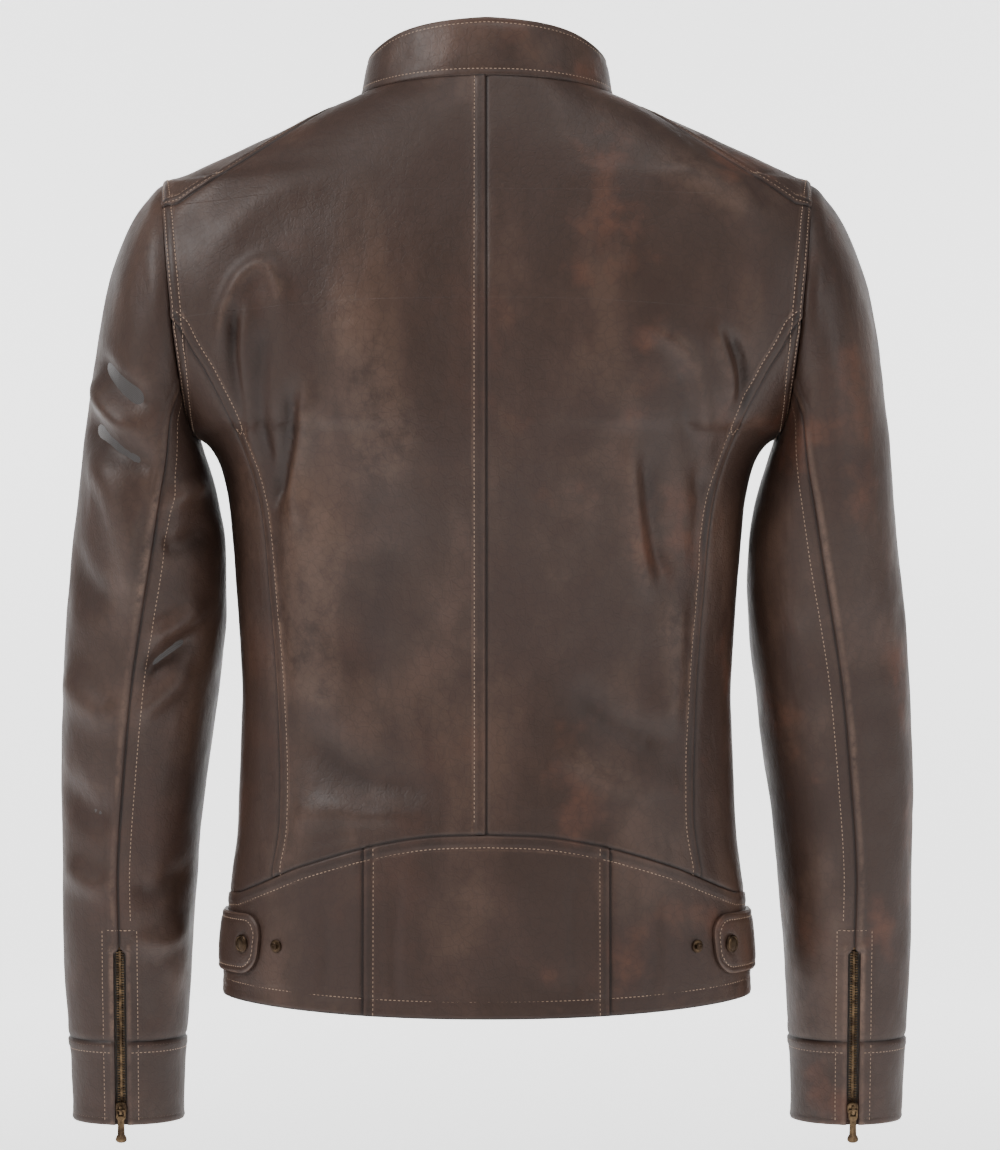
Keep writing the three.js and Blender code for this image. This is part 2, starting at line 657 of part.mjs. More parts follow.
// One side of a zip: a flat tape with its row of teeth as one bead, along z.
function zipSide(size, side, low, high) {
  const beadMiddle = size.inner + size.bead / 2;
  const tapeWidth = size.tapeEdge - size.inner - size.bead / 2;
  const tape = box(tapeWidth, tapeCloth, high - low, side * (size.tapeEdge - tapeWidth / 2),
    tapeTop - tapeCloth / 2, (low + high) / 2);
  const bead = box(size.bead, tapeCloth + 2 * beadLift, high - low, side * beadMiddle,
    tapeTop - tapeCloth / 2, (low + high) / 2);
  return joined(tape, bead);
}

// A whole short zip: two sides joined by a stop at each end.
function shortZip(size, low, high) {
  const stop = 2.4;
  const bar = (z) => box(2 * (size.inner + size.bead), tapeCloth, stop, 0, tapeTop - tapeCloth / 2, z);
  return joined(zipSide(size, 1, low, high), zipSide(size, -1, low, high), bar(low + stop / 2),
    bar(high - stop / 2));
}

const plateThickness = 1.4;
const sliderFront = 1.0;
const sliderBack = tapeTop - tapeCloth - beadLift - 0.45;
const bailHeight = 4.2;
const crossbar = 1.3;

// The slider, its middle at z = 0: two plates joined by a web that runs between the beads.
function zipSlider(size) {
  const plate = new THREE.Shape();
  const w = size.plate / 2;
  const l = size.slider / 2;
  plate.moveTo(-w * 0.7, -l);
  plate.lineTo(w * 0.7, -l);
  plate.quadraticCurveTo(w, 0, w, l * 0.6);
  plate.quadraticCurveTo(w * 0.9, l, 0, l);
  plate.quadraticCurveTo(-w * 0.9, l, -w, l * 0.6);
  plate.quadraticCurveTo(-w, 0, -w * 0.7, -l);
  const plateAt = (yTop) => {
    const geometry = new THREE.ExtrudeGeometry(plate,
      { depth: plateThickness, bevelEnabled: false, curveSegments: 3 });
    geometry.rotateX(Math.PI / 2);
    return geometry.translate(0, yTop, 0);
  };
  const webHeight = sliderFront - sliderBack + 1;
  const web = box(1.1, webHeight, size.slider * 0.5, 0, (sliderFront + sliderBack) / 2, size.slider * 0.2);
  const bail = new THREE.Shape();
  const top = plateThickness + sliderFront;
  const b = size.slider * 0.3;
  bail.moveTo(top - 0.4, -b);
  bail.lineTo(top + bailHeight * 0.6, -b);
  bail.quadraticCurveTo(top + bailHeight, -b * 0.7, top + bailHeight, 0);
  bail.quadraticCurveTo(top + bailHeight, b * 0.7, top + bailHeight * 0.6, b);
  bail.lineTo(top - 0.4, b);
  bail.lineTo(top - 0.4, b - 1.1);
  bail.lineTo(top + bailHeight * 0.4, b - 1.1);
  bail.quadraticCurveTo(top + bailHeight - 1.1, b * 0.5, top + bailHeight - 1.1, 0);
  bail.quadraticCurveTo(top + bailHeight - 1.1, -b * 0.5, top + bailHeight * 0.4, -b + 1.1);
  bail.lineTo(top - 0.4, -b + 1.1);
  const arch = new THREE.ExtrudeGeometry(bail, { depth: 1.8, bevelEnabled: false, curveSegments: 3 });
  arch.rotateX(Math.PI / 2);
  arch.rotateZ(Math.PI / 2);
  arch.translate(-0.9, 0, 0);
  return joined(plateAt(sliderFront + plateThickness), plateAt(sliderBack), web, arch);
}

// Where the pull's crossbar lies under the bail.
const crossbarY = sliderFront + plateThickness + crossbar / 2 + 0.5;

// The pull, hanging down from its crossbar, which is at the local origin.
function zipPull(size) {
  const frameHalf = 3.4;
  const arm = 1.2;
  const window = size.slider * 0.3 + 1.0;
  const outline = new THREE.Shape();
  const end = size.pull;
  outline.moveTo(-frameHalf, crossbar / 2);
  outline.lineTo(-frameHalf, -window - arm);
  outline.lineTo(-2.2, -window - 3.2);
  outline.lineTo(-2.6, -end + 6);
  outline.quadraticCurveTo(-4.2, -end + 4, -4.0, -end + 2);
  outline.quadraticCurveTo(-3.2, -end, 0, -end);
  outline.quadraticCurveTo(3.2, -end, 4.0, -end + 2);
  outline.quadraticCurveTo(4.2, -end + 4, 2.6, -end + 6);
  outline.lineTo(2.2, -window - 3.2);
  outline.lineTo(frameHalf, -window - arm);
  outline.lineTo(frameHalf, crossbar / 2);
  const opening = new THREE.Path();
  opening.moveTo(-frameHalf + arm, -crossbar / 2);
  opening.lineTo(frameHalf - arm, -crossbar / 2);
  opening.lineTo(frameHalf - arm, -window);
  opening.lineTo(-frameHalf + arm, -window);
  outline.holes.push(opening);
  const geometry = new THREE.ExtrudeGeometry(outline,
    { depth: crossbar, bevelEnabled: false, curveSegments: 3 });
  geometry.rotateX(Math.PI / 2);
  return geometry.translate(0, crossbar / 2, 0);
}

// ---- Tabs and snaps ----------------------------------------------------------------------

function turned(profile) {
  const geometry = new THREE.LatheGeometry(profile.map(([r, h]) => new THREE.Vector2(r, h)), 10);
  return toGeometry(toSolid(geometry));
}

function snapCap() {
  const r = snap.cap;
  return turned([[0, 0], [r - 0.6, 0], [r, 0.7], [r - 0.6, 1.5], [r * 0.6, snap.capHeight - 0.2],
    [0, snap.capHeight]]);
}

function snapStud() {
  const top = snap.baseHeight + snap.postHeight;
  return turned([[0, 0], [snap.base, 0], [snap.base, snap.baseHeight], [snap.post * 0.8, snap.baseHeight],
    [snap.post, top - 0.8], [snap.post * 0.8, top], [0, top]]);
}

// A point round the body at one level, measured as an arc length from the tab's sewn end.
const tabPath = (() => {
  const level = (z) => {
    const list = [];
    const up = (z + sideLength) / (sideLength - sideNeckDrop);
    for (let i = 0; i <= 60; i++) list.push(bodyPoint(-1, 0.8 + 0.2 * i / 60, up));
    for (let i = 1; i <= 240; i++) list.push(bodyPoint(1, 1 - 0.8 * i / 240, up));
    return list.filter((p) => p.y >= tab.startY);
  };
  return (length, z) => {
    const list = level(z);
    let travelled = 0;
    for (let i = 1; i < list.length; i++) {
      const step = Math.hypot(list[i].x - list[i - 1].x, list[i].y - list[i - 1].y);
      if (travelled + step >= length) {
        return list[i - 1].clone().lerp(list[i], (length - travelled) / step).setZ(z);
      }
      travelled += step;
    }
    return list[list.length - 1].clone().setZ(z);
  };
})();

const tabLift = 0.8;
const tabRound = [[0, 1], [14, 1], [28, 1], [42, 1], [54, 1], [tab.length - 16, 1], [tab.length - 9, 0.95],
  [tab.length - 3.5, 0.8], [tab.length, 0.5]];

function waistTabShape() {
  const grid = [-1, -0.5, 0, 0.5, 1].map((level) => tabRound.map(([length, share]) => (
    tabPath(length, -tab.drop + level * share * tab.height / 2)
  )));
  return thicken(sheet(grid), tabLift + tab.thickness, tabLift);
}

// A frame with z up and y along the outward normal.
function uprightFrame(origin, outward) {
  const along = outward.clone().cross(v3(0, 0, 1));
  return { origin, rotation: new THREE.Matrix4().makeBasis(along, outward, v3(0, 0, 1)) };
}

// A frame on the body round the waist, this far from the tab's sewn end.
function tabFrame(length) {
  const p = tabPath(length, -tab.drop);
  const ahead = tabPath(length + 1, -tab.drop).sub(tabPath(length - 1, -tab.drop)).normalize();
  const outward = ahead.clone().cross(v3(0, 0, 1)).normalize();
  if (outward.x < 0) outward.negate();
  return uprightFrame(p, outward);
}

const snapHole = () => new THREE.CylinderGeometry(snap.base + 0.6, snap.base + 0.6, 12, 16);
const waistSnap = tabFrame(tab.length - tab.snapFromEnd);
const waistTab = toGeometry(toSolid(waistTabShape()).subtract(toSolid(inFrame(snapHole(), waistSnap))));

// The collar tab crosses the front zip from the wearer's left to right.
const collarTabZ = -frontNeckDrop + collarFrontHeight * 0.52;

function collarFrontPoint(x, z) {
  let best = null;
  for (let i = 0; i <= 200; i++) {
    const around = 1.2 + 0.8 * i / 200;
    const low = collarPoint(around, 0);
    const t = Math.min(Math.max((z - low.z) / collarRise(around), 0), 1);
    const p = collarPoint(around, t);
    if (!best || Math.abs(p.x - Math.abs(x)) < Math.abs(best.x - Math.abs(x))) best = p;
  }
  return v3(x, best.y, z);
}

const collarTabLift = 8.2;

function collarTabShape() {
  const shares = [[0, 1], [0.25, 1], [0.5, 1], [0.72, 1], [0.86, 0.95], [0.95, 0.75], [1, 0.45]];
  const grid = [-1, 0, 1].map((level) => shares.map(([along, share]) => {
    const x = collarTab.start - collarTab.length * along;
    return collarFrontPoint(x, collarTabZ + level * share * collarTab.height / 2);
  }));
  const flat = sheet(grid, true);
  return thicken(flat, collarTabLift + collarTab.thickness, collarTabLift);
}

function collarTabFrame(x, lift) {
  const a = collarFrontPoint(x - 2, collarTabZ);
  const b = collarFrontPoint(x + 2, collarTabZ);
  const outward = b.clone().sub(a).cross(v3(0, 0, 1)).normalize();
  if (outward.y > 0) outward.negate();
  return uprightFrame(a.lerp(b, 0.5).addScaledVector(outward, lift), outward);
}

const collarSnapX = collarTab.start - collarTab.length + 12;

// ---- Materials and the assembly ----------------------------------------------------------

const finish = {
  leather: { color: 0x4b382f, roughness: 0.48, metalness: 0 },
  leatherLight: { color: 0x5a443a, roughness: 0.45, metalness: 0 },
  leatherDark: { color: 0x3b2a24, roughness: 0.5, metalness: 0 },
  cloth: { color: 0x2b2320, roughness: 0.7, metalness: 0 },
  tape: { color: 0x221b18, roughness: 0.85, metalness: 0 },
  brass: { color: 0x7a6444, roughness: 0.4, metalness: 1 },
};

const jacket = new THREE.Group();

function add(name, geometry, look, parent = jacket) {
  const mesh = new THREE.Mesh(geometry, new THREE.MeshStandardMaterial(finish[look]));
  mesh.name = name;
  parent.add(mesh);
  return mesh;
}

function addInFrame(name, geometry, look, frame, alongZ = 0, liftY = 0) {
  const holder = new THREE.Group();
  const offset = v3(0, liftY, alongZ).applyMatrix4(frame.rotation);
  holder.position.copy(frame.origin).add(offset);
  holder.quaternion.setFromRotationMatrix(frame.rotation);
  jacket.add(holder);
  return add(name, geometry, look, holder);
}

function addZipHardware(zip, suffix, size, frame, sliderZ) {
  addInFrame(`${zip}_slider${suffix}`, zipSlider(size), 'brass', frame, sliderZ);
  addInFrame(`${zip}_pull${suffix}`, zipPull(size), 'brass', frame, sliderZ, crossbarY);
}

add('lower_back_panel_center', toGeometry(lowerBackCentre()), 'leatherLight');
const collarOuter = collarLayer(0, -leather, zipGap);
const collarInner = collarLayer(-leather - gap, -leather - gap - collarFacing, 14);
add('collar_outer', toGeometry(collarOuter), 'leather');
add('collar_facing', toGeometry(collarInner), 'leatherDark');
add('hanger_loop', hangerLoop(), 'leatherDark');

const zipHigh = mainFrame.length - 2;
const zipLow = 4;
addInFrame('main_zip_left', zipSide(mainZip, -1, zipLow, zipHigh), 'tape', mainFrame);
addInFrame('main_zip_right', zipSide(mainZip, 1, zipLow, zipHigh), 'tape', mainFrame);
addZipHardware('main_zip', '', mainZip, mainFrame, zipHigh - mainZipDrawn);

const sleeves = sleeveParts();
for (const [word, side] of [['left', 1], ['right', -1]]) {
  add(`back_panel_${word}`, toGeometry(backPanel(side)), 'leather');
  add(`side_panel_${word}`, toGeometry(sidePanel(side)), 'leatherDark');
  add(`shoulder_panel_${word}`, toGeometry(shoulderPanel(side)), 'leatherLight');
  add(`lower_back_panel_${word}`, toGeometry(lowerBackSide(side)), 'leather');
  add(`front_panel_${word}`, toGeometry(frontPanel(side, pocketFrames[word])), 'leather');
  add(`body_lining_${word}`, toGeometry(liningHalf(side)), 'cloth');
  add(`pocket_bag_${word}`, toGeometry(pocketBag(side)), 'cloth');

  const pocket = pocketFrames[word];
  const weltFrame = new THREE.Shape();
  const w = welt.width / 2;
  const l = pocketLength / 2 + 9;
  weltFrame.moveTo(-w, -l);
  weltFrame.lineTo(w, -l);
  weltFrame.lineTo(w, l);
  weltFrame.lineTo(-w, l);
  const mouth = new THREE.Path();
  mouth.moveTo(-pocketSlotHalf, -pocketLength / 2);
  mouth.lineTo(pocketSlotHalf, -pocketLength / 2);
  mouth.lineTo(pocketSlotHalf, pocketLength / 2);
  mouth.lineTo(-pocketSlotHalf, pocketLength / 2);
  weltFrame.holes.push(mouth);
  const weltPlate = new THREE.ExtrudeGeometry(weltFrame, { depth: welt.thickness, bevelEnabled: false });
  weltPlate.rotateX(Math.PI / 2);
  addInFrame(`pocket_welt_${word}`, weltPlate, 'leatherDark', pocket,
    pocketLength / 2, welt.lift + welt.thickness);
  addInFrame(`pocket_zip_${word}`, shortZip(smallZip, -1.5, pocketLength + 1.5), 'tape', pocket);

  const snapFrame = side > 0 ? waistSnap : mirrorFrame(waistSnap);
  const spare = tabFrame(tab.length + spareStud);
  const spareFrame = side > 0 ? spare : mirrorFrame(spare);
  add(`waist_tab_${word}`, side > 0 ? waistTab : mirrored(waistTab), 'leatherLight');
  addInFrame(`waist_snap_${word}`, snapCap(), 'brass', snapFrame, 0, tabLift + tab.thickness + 2 * gap);
  addInFrame(`waist_stud_${word}`, snapStud(), 'brass', snapFrame, 0, 2 * gap);
  addInFrame(`waist_spare_stud_${word}`, snapStud(), 'brass', spareFrame, 0, 2 * gap);

  for (const [name, solid] of Object.entries(sleeves)) {
    const geometry = toGeometry(solid);
    const look = name === 'sleeve_lining' ? 'cloth' : name.includes('under') ? 'leatherDark' : 'leather';
    add(`${name}_${word}`, side > 0 ? geometry : mirrored(geometry), look);
  }
  addInFrame(`cuff_zip_${word}`, shortZip(smallZip, 3, cuffZipLength + 3), 'tape', cuffFrames[word]);
}

for (const word of ['left', 'right']) {
  for (const [zip, frame, sliderZ] of [['pocket_zip', pocketFrames[word], pocketLength - 9],
    ['cuff_zip', cuffFrames[word], 12]]) {
    addZipHardware(zip, `_${word}`, smallZip, frame, sliderZ);
  }
}

add('collar_tab', toGeometry(toSolid(collarTabShape())
  .subtract(toSolid(inFrame(snapHole(), collarTabFrame(collarSnapX, collarTabLift))))), 'leatherLight');
addInFrame('collar_snap', snapCap(), 'brass', collarTabFrame(collarSnapX, 0), 0,
  collarTabLift + collarTab.thickness + gap);
addInFrame('collar_stud', snapStud(), 'brass', collarTabFrame(collarSnapX, 0), 0, 2 * gap);

export default jacket;
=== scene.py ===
import bpy
import math
import numpy as np
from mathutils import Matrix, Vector


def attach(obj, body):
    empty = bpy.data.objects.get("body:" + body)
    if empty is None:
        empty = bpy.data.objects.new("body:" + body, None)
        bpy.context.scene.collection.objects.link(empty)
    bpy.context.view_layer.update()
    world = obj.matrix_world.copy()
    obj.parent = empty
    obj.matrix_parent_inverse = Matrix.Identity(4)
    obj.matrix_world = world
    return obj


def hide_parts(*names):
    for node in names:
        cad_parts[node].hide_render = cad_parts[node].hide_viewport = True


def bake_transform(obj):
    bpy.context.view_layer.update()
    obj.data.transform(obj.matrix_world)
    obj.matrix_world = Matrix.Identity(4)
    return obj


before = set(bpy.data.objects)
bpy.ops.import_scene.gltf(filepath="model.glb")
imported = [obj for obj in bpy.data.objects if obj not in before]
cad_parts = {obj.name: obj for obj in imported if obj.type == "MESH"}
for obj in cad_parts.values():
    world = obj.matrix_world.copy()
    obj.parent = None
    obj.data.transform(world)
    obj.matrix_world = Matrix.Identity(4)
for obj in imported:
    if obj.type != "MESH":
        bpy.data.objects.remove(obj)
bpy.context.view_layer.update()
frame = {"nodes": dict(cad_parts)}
mm = 0.001

# Worked in millimetres in the jacket's own frame and scaled by mm when a mesh is made.
# x is towards the wearer's left, y towards the back, z up from the nape seam.
cut = {
    "backLength": 657, "sideLength": 649, "sideNeckDrop": 6, "frontNeckDrop": 75,
    "neckHalfWidth": 90, "hemHalfWidth": 190, "waistHalfWidth": 177, "waistDrop": 440,
    "chestHalfWidth": 184, "chestDrop": 310, "fullness": 0.92,
    "armholeRadius": 90, "armholeTopX": 231, "armholeTopZ": -69, "armholeTilt": math.radians(6.2),
    "zipTopY": -98, "zipHemY": -128, "frontEdge": 4.0,
}


# ---- curves, noise and meshes

# A smooth curve through (height, value) pairs, lowest height first.
def stations(pairs):
    h = np.array([p[0] for p in pairs], float)
    v = np.array([p[1] for p in pairs], float)
    slope = np.empty_like(v)
    slope[1:-1] = (v[2:] - v[:-2]) / (h[2:] - h[:-2])
    slope[0] = (v[1] - v[0]) / (h[1] - h[0])
    slope[-1] = (v[-1] - v[-2]) / (h[-1] - h[-2])

    def at(x):
        x = np.clip(np.asarray(x, float), h[0], h[-1])
        i = np.clip(np.searchsorted(h, x, side="right") - 1, 0, len(h) - 2)
        span = h[i + 1] - h[i]
        t = (x - h[i]) / span
        return ((2 * t**3 - 3 * t**2 + 1) * v[i] + (t**3 - 2 * t**2 + t) * span * slope[i]
                + (-2 * t**3 + 3 * t**2) * v[i + 1] + (t**3 - t**2) * span * slope[i + 1])
    return at


def smoothStep(x, low, high):
    t = np.clip((x - low) / (high - low), 0, 1)
    return t * t * (3 - 2 * t)


# Values from 0 to 1 that crowd together at both ends, where the seams are.
def crowded(count, crowd=0.86):
    t = np.linspace(0, 1, count)
    return t - crowd * np.sin(2 * np.pi * t) / (2 * np.pi)


noiseTable = np.random.default_rng(7).uniform(-1, 1, (32, 32, 32))


# Smooth noise from -1 to 1 at points (..., 3), with cells of the given size in x, y and z.
def softNoise(points, size, shift=0.0):
    q = points / np.asarray(size, float) + shift
    base = np.floor(q).astype(int)
    f = q - base
    f = f * f * (3 - 2 * f)
    total = 0
    for dx in (0, 1):
        for dy in (0, 1):
            for dz in (0, 1):
                weight = (np.where(dx, f[..., 0], 1 - f[..., 0]) * np.where(dy, f[..., 1], 1 - f[..., 1])
                          * np.where(dz, f[..., 2], 1 - f[..., 2]))
                total = total + weight * noiseTable[(base[..., 0] + dx) % 32, (base[..., 1] + dy) % 32,
                                                    (base[..., 2] + dz) % 32]
    return total


def makeObject(name, verts, faces, material, wearAndShading=None):
    mesh = bpy.data.meshes.new(name)
    mesh.from_pydata((np.asarray(verts) * mm).tolist(), [], faces)
    mesh.polygons.foreach_set("use_smooth", [True] * len(mesh.polygons))
    # The attribute holds rubbed wear and painted shade and highlight for the leather's colour.
    if wearAndShading is not None:
        mesh.attributes.new("wearAndShading", "FLOAT", "POINT").data.foreach_set("value", np.asarray(wearAndShading, np.float32))
    mesh.validate()
    mesh.update()
    piece = bpy.data.objects.new(name, mesh)
    bpy.context.scene.collection.objects.link(piece)
    mesh.materials.append(material)
    return piece


def gridFaces(rows, cols, start=0, flip=False):
    i = np.arange(rows - 1)[:, None] * cols + np.arange(cols - 1)[None, :] + start
    quads = np.stack([i, i + 1, i + cols + 1, i + cols], -1).reshape(-1, 4)
    return (quads[:, ::-1] if flip else quads).tolist()


# Several (rows, cols, 3) grids become one mesh. Each comes with its own flip and its value of wear and
# painted shading.
def gridObject(name, grids, material):
    verts, faces, wearAndShading = [], [], []
    for grid, flip, rubAndShade in grids:
        faces += gridFaces(grid.shape[0], grid.shape[1], len(verts), flip)
        verts += grid.reshape(-1, 3).tolist()
        wearAndShading += np.broadcast_to(rubAndShade, grid.shape[:2]).reshape(-1).tolist()
    return makeObject(name, verts, faces, material, wearAndShading)


# Distance from points (..., 3) to a polyline, with the share of the way along it.
def lineDistance(points, line):
    shape = points.shape[:-1]
    p = points.reshape(-1, points.shape[-1])
    best = np.full(len(p), 1e9)
    along = np.zeros(len(p))
    lengths = np.linalg.norm(np.diff(line, axis=0), axis=1)
    start = np.concatenate([[0], np.cumsum(lengths)])
    for i, length in enumerate(lengths):
        d = line[i + 1] - line[i]
        t = np.clip(((p - line[i]) @ d) / max(length**2, 1e-9), 0, 1)
        gap = np.linalg.norm(p - line[i] - t[:, None] * d, axis=1)
        near = gap < best
        best = np.where(near, gap, best)
        along = np.where(near, start[i] + t * length, along)
    return best.reshape(shape), (along / start[-1]).reshape(shape)


# ---- the shape of the body

tilt = cut["armholeTilt"]
armCentreZ = cut["armholeTopZ"] - cut["armholeRadius"] * math.cos(tilt)
armpitX = cut["armholeTopX"] - 2 * cut["armholeRadius"] * math.sin(tilt)
armpitZ = cut["armholeTopZ"] - 2 * cut["armholeRadius"] * math.cos(tilt)

underArmWidth = stations([
    (-cut["sideLength"], cut["hemHalfWidth"]), (-610, cut["hemHalfWidth"] - 1.5),
    (-577, cut["hemHalfWidth"] - 5.5), (-535, cut["waistHalfWidth"] + 2), (-490, cut["waistHalfWidth"]),
    (-cut["waistDrop"], cut["waistHalfWidth"] - 1), (-382, cut["waistHalfWidth"] + 2),
    (-cut["chestDrop"], cut["chestHalfWidth"]), (armpitZ - 28, cut["chestHalfWidth"] + 6),
    (armpitZ - 11, cut["chestHalfWidth"] + 15), (armpitZ, armpitX),
])
sectionArc = stations([
    (armpitZ - 1, 90), (armpitZ + 24, 80), (armpitZ + 48, 70), (armCentreZ, 60),
    (cut["armholeTopZ"] - 40, 66), (cut["armholeTopZ"] - 16, 80), (cut["armholeTopZ"], 90),
])
backDepth = stations([
    (-cut["backLength"], 112), (-560, 104), (-470, 93), (-400, 93), (-250, 116), (-150, 118),
    (-60, 101), (0, 78),
])


def frontY(z):
    slope = (cut["zipHemY"] - cut["zipTopY"]) / (cut["frontNeckDrop"] - cut["backLength"])
    return cut["zipTopY"] + (z + cut["frontNeckDrop"]) * slope


def sideHalfWidth(z):
    top = cut["armholeTopZ"]
    ridge = (cut["armholeTopX"] + (cut["neckHalfWidth"] - cut["armholeTopX"])
             * (z - top) / (-cut["sideNeckDrop"] - top))
    armhole = cut["armholeTopX"] + (z - top) * math.tan(tilt)
    return np.where(z <= armpitZ, underArmWidth(z), np.where(z <= top, armhole, ridge))


def armholeChord(z):
    rise = (z - armCentreZ) / math.cos(tilt)
    return np.sqrt(np.maximum(cut["armholeRadius"]**2 - rise**2, 0))


# face is 1 on the back and -1 on the front, across is 0 at the centre and 1 at the side,
# and up is 0 at the hem and 1 at the neck.
def bodyPoint(face, across, up):
    sideZ = -cut["sideLength"] + (cut["sideLength"] - cut["sideNeckDrop"]) * up
    neckZ = 0 if face > 0 else -cut["frontNeckDrop"]
    centreZ = -cut["backLength"] + (cut["backLength"] + neckZ) * up
    centreY = backDepth(centreZ) if face > 0 else frontY(centreZ)
    sideY = face * armholeChord(sideZ)
    arc = np.radians(sectionArc(sideZ))
    bow = np.maximum((np.cos(arc * across) - np.cos(arc)) / (1 - np.cos(arc)), 0)
    share = np.sin(arc * across) / np.sin(arc)
    return np.stack([
        sideHalfWidth(sideZ) * np.sign(share) * np.abs(share) ** cut["fullness"],
        sideY + (centreY - sideY) * bow ** cut["fullness"],
        sideZ + (centreZ - sideZ) * (1 + np.cos(np.pi * across)) / 2,
    ], -1)


def bodyNormal(face, across, up):
    step = 1e-3
    a0, a1 = np.clip(across - step, 0, 1), np.clip(across + step, 0, 1)
    u0, u1 = np.clip(up - step, 0, 1), np.clip(up + step, 0, 1)
    n = np.cross(bodyPoint(face, a1, up) - bodyPoint(face, a0, up), bodyPoint(face, across, u1)
                 - bodyPoint(face, across, u0))
    n /= np.maximum(np.linalg.norm(n, axis=-1, keepdims=True), 1e-9)
    return -n * face


# across and up for a point of the body given by its x and z.
def bodyAcrossUp(face, x, z):
    x, z = np.asarray(x, float), np.asarray(z, float)
    across, up = np.full(x.shape, 0.5), (z + cut["sideLength"]) / (cut["sideLength"] - cut["sideNeckDrop"])
    step = 1e-4
    for _ in range(25):
        p = bodyPoint(face, across, up)
        da = (bodyPoint(face, across + step, up) - p) / step
        du = (bodyPoint(face, across, up + step) - p) / step
        det = da[..., 0] * du[..., 2] - da[..., 2] * du[..., 0]
        ex, ez = x - p[..., 0], z - p[..., 2]
        across = np.clip(across + (ex * du[..., 2] - ez * du[..., 0]) / det, 1e-4, 0.9995)
        up = np.clip(up + (da[..., 0] * ez - da[..., 2] * ex) / det, 0, 0.9999)
    return np.stack([across, up], -1)


def sideUp(z):
    return (z + cut["sideLength"]) / (cut["sideLength"] - cut["sideNeckDrop"])


# ---- seams: where they run, in x and z on the left half

seamRoutes = {
    "princess": [(216, -172), (206, -192), (196, -208), (176, -249), (160, -298), (153, -367), (148, -437),
                 (146, -521), (151, -557)],
    "arch": [(0.0, -530), (44, -532), (86, -540), (131, -554), (151, -563), (178, -576)],
    "shoulderBack": [(221, -92), (200, -78), (160, -51), (100, -9)],
    "shoulderFront": [(224, -124), (170, -84), (110, -46), (84, -36)],
    "lowerSeamX": 86, "princessTopZ": -172, "shoulderBackZ": -92, "shoulderFrontZ": -124,
}


# A smooth line through route points, in across and up.
def routeOnBody(face, route, count=60):
    route = np.array(route, float)
    t = np.concatenate([[0], np.cumsum(np.linalg.norm(np.diff(route, axis=0), axis=1))])
    s = np.linspace(0, t[-1], count)
    x = stations(list(zip(t, route[:, 0])))(s)
    z = stations(list(zip(t, route[:, 1])))(s)
    return bodyAcrossUp(face, x, z)


def resample(line, at):
    t = np.concatenate([[0], np.cumsum(np.linalg.norm(np.diff(line, axis=0) * [200, 650], axis=1))])
    t /= max(t[-1], 1e-9)
    return np.stack([np.interp(at, t, line[:, k]) for k in range(line.shape[1])], -1)


# A patch of across and up values between four edges. rights is the right edge, lines that meet at corners.
# Rows stay level, so the patch never folds over itself.
def patchBetween(bottom, top, left, rights, rows, cols):
    climb = np.array([line[-1][1] - line[0][1] for line in rights])
    counts = np.maximum((rows * climb / climb.sum()).astype(int), 8)
    right = np.concatenate([resample(np.array(line), crowded(n)) for line, n in zip(rights, counts)])
    share = ((right[:, 1] - right[0, 1]) / (right[-1, 1] - right[0, 1]))[:, None]
    leftUp = left[0, 1] + share[:, 0] * (left[-1, 1] - left[0, 1])
    l = np.stack([np.interp(leftUp, left[:, 1], left[:, 0]), leftUp], -1)[:, None]
    s, share = crowded(cols)[None, :, None], share[:, None]
    b = resample(bottom, s[0, :, 0])[None] - (1 - s) * bottom[0] - s * bottom[-1]
    c = resample(top, s[0, :, 0])[None] - (1 - s) * top[0] - s * top[-1]
    return (1 - s) * l + s * right[:, None] + (1 - share) * b + share * c


def straight(a, b, count=40):
    return np.linspace(np.array(a, float), np.array(b, float), count)
